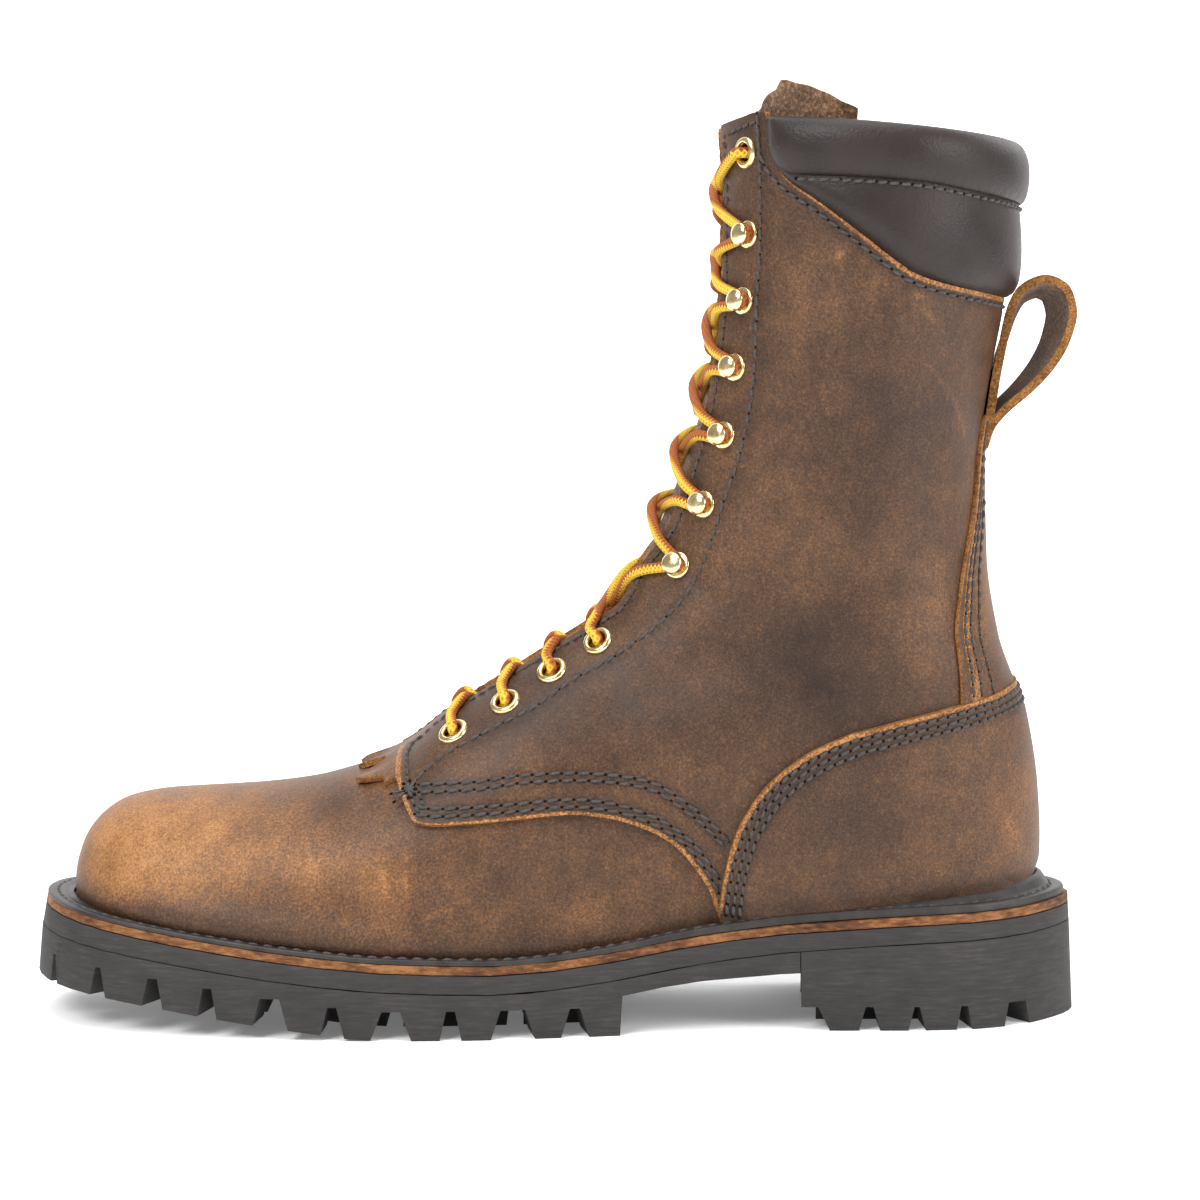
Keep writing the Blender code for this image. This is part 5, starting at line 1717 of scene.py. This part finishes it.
def copiesMesh(name, groups, finish):
    # one object from many copies of a template
    points = []
    faces = []
    start = 0
    for copies, templateFaces in groups:
        for copy in copies:
            points.append(copy)
            faces += [tuple(start + k for k in face) for face in templateFaces]
            start += len(copy)
    mesh = bpy.data.meshes.new(name)
    mesh.from_pydata(inBoot(np.concatenate(points)).tolist(), [], faces)
    obj = bpy.data.objects.new(name, mesh)
    bpy.context.scene.collection.objects.link(obj)
    inEditMode(obj, lambda: bpy.ops.mesh.normals_make_consistent(inside=False))
    setFinishes(obj, finish)
    smoothShade(obj, 80)
    return obj


panelTops = {
    "quarter": layers["quarterTop"],
    "counter": layers["counterTop"],
    "backstay": backstayShape["top"],
}


def threadRows():
    # points and normals of every row, and its stitch length and thread thickness
    rows = []
    for panel, pitch, station, turn in seams:
        for side in (-1, 1):
            normals = skinNormal(station, side * turn)
            rows.append((skin(station, side * turn, panelTops[panel] - seamLook["dip"]), normals, pitch, 1.0))
    for first, final in threadShape["tack"]:
        line = np.linspace(first, final, 12)
        station, turn = placeOf(line[:, 0], line[:, 1])
        for side in (-1, 1):
            points = skin(station, side * turn, panelTops["quarter"])
            rows.append((points, skinNormal(station, side * turn), math.dist(first, final), 0.9))
    start, under = collarShape["stitchRow"]
    around = np.linspace(start, 1, 200)
    turns = collarTurns(around)
    heights = curveOf(collarShape["rows"], 2)(thereAndBack(around)) - under
    station = stationAt(turns, heights)
    points = skin(station, turns, collarShape["seam"] + 0.15, False)
    rows.append((points, skinNormal(station, turns), 3.4, 1.0))
    angles = np.linspace(0, np.pi, 400)
    for side in (-1, 1):
        outer = soleOutline(side, angles, weltShape["margin"])
        inner = featherOutline(side, angles, -weltShape["clearance"][0])
        plan = outer + (inner - outer) * weltShape["stitches"]
        points = np.column_stack([plan, featherHeight(plan[:, 0]) + weltEdge(plan[:, 0]) - 0.3])
        rows.append((points, np.tile((0.0, 0.0, 1.0), (len(points), 1)), 4.4, 1.1))
    return rows


def makeThreads():
    ball, ballFaces = roundTemplate(8, 6)
    speck, speckFaces = roundTemplate(8, 4)
    stitches = []
    holeShadeSpecks = []
    for points, normals, pitch, thickness in threadRows():
        middles, along, upward, ends, endUpward = everyStep(points, normals, pitch)
        stitches.append((stitchPoints(ball, middles, along, upward, thickness), ballFaces))
        endAlong = np.concatenate([along, along[-1:]])
        holeShadeSpecks.append((holeShadePoints(speck, ends, endAlong, endUpward), speckFaces))
    settlePiece(copiesMesh("stitches", stitches, "thread"), "black_leather")
    # the specks are painted shade standing in for the needle holes
    settlePiece(copiesMesh("needleHoles", holeShadeSpecks, "holeShade"), "black_leather")


makeThreads()


# camera, floor and light
view = {"place": (13.6, -1050, 215), "tilt": 4.94, "lens": 104.2}


def makeStudio():
    camera = bpy.data.objects.new("camera", bpy.data.cameras.new("camera"))
    bpy.context.scene.collection.objects.link(camera)
    camera.location = inBoot(view["place"])
    camera.rotation_euler = (math.radians(90 - view["tilt"]), 0, 0)
    camera.data.lens = view["lens"]
    camera.data.sensor_width = 36
    bpy.context.scene.camera = camera
    bpy.ops.mesh.primitive_circle_add(vertices=96, radius=3.0, fill_type="NGON", location=(0, 0, 0))
    floor = bpy.context.object
    floor.name = "floor"
    bpy.ops.mesh.primitive_plane_add(size=6, location=(0, 2.9, 2.9), rotation=(math.pi / 2, 0, 0))
    backdrop = bpy.context.object
    backdrop.name = "backdrop"
    for sheet, glow in ((floor, 0.50), (backdrop, 1.0)):
        paint, tree, shader = newFinish(sheet.name + "Paint", 0.7, specular=0.1)
        shader.inputs["Base Color"].default_value = (0.95, 0.95, 0.95, 1.0)
        shader.inputs["Emission Color"].default_value = (1.0, 1.0, 1.0, 1.0)
        if sheet is floor:
            # less glow near the boot: a painted shadow round it, which deepens its cast shadow
            away = addNode(tree, "VectorMath", {0: objectPlace(tree)}, operation="LENGTH").outputs["Value"]
            tree.links.new(spread(tree, away, 0.10, 0.50, 0.14, glow), shader.inputs["Emission Strength"])
        else:
            shader.inputs["Emission Strength"].default_value = glow
        sheet.data.materials.append(paint)
    world = bpy.data.worlds.new("studio")
    bpy.context.scene.world = world
    world.use_nodes = True
    world.node_tree.nodes["Background"].inputs["Color"].default_value = (1, 1, 1, 1)
    world.node_tree.nodes["Background"].inputs["Strength"].default_value = 0.38
    softboxes = (
        # name, place, size, power
        ("keyLight", (-0.8, -1.0, 1.25), 0.8, 22),
        ("fillLight", (1.35, -0.75, 0.72), 0.7, 15),
        ("topLight", (0.0, -0.1, 1.6), 1.1, 16),
        ("rimLight", (1.0, 0.7, 0.9), 0.7, 4),
    )
    for name, place, size, power in softboxes:
        light = bpy.data.objects.new(name, bpy.data.lights.new(name, "AREA"))
        bpy.context.scene.collection.objects.link(light)
        light.location = place
        aim = Vector((0, 0, 0.12)) - light.location
        light.rotation_euler = aim.to_track_quat("-Z", "Y").to_euler()
        light.data.size = size
        light.data.energy = power
    bpy.context.scene.view_settings.view_transform = "Standard"


makeStudio()
print("studio ready")
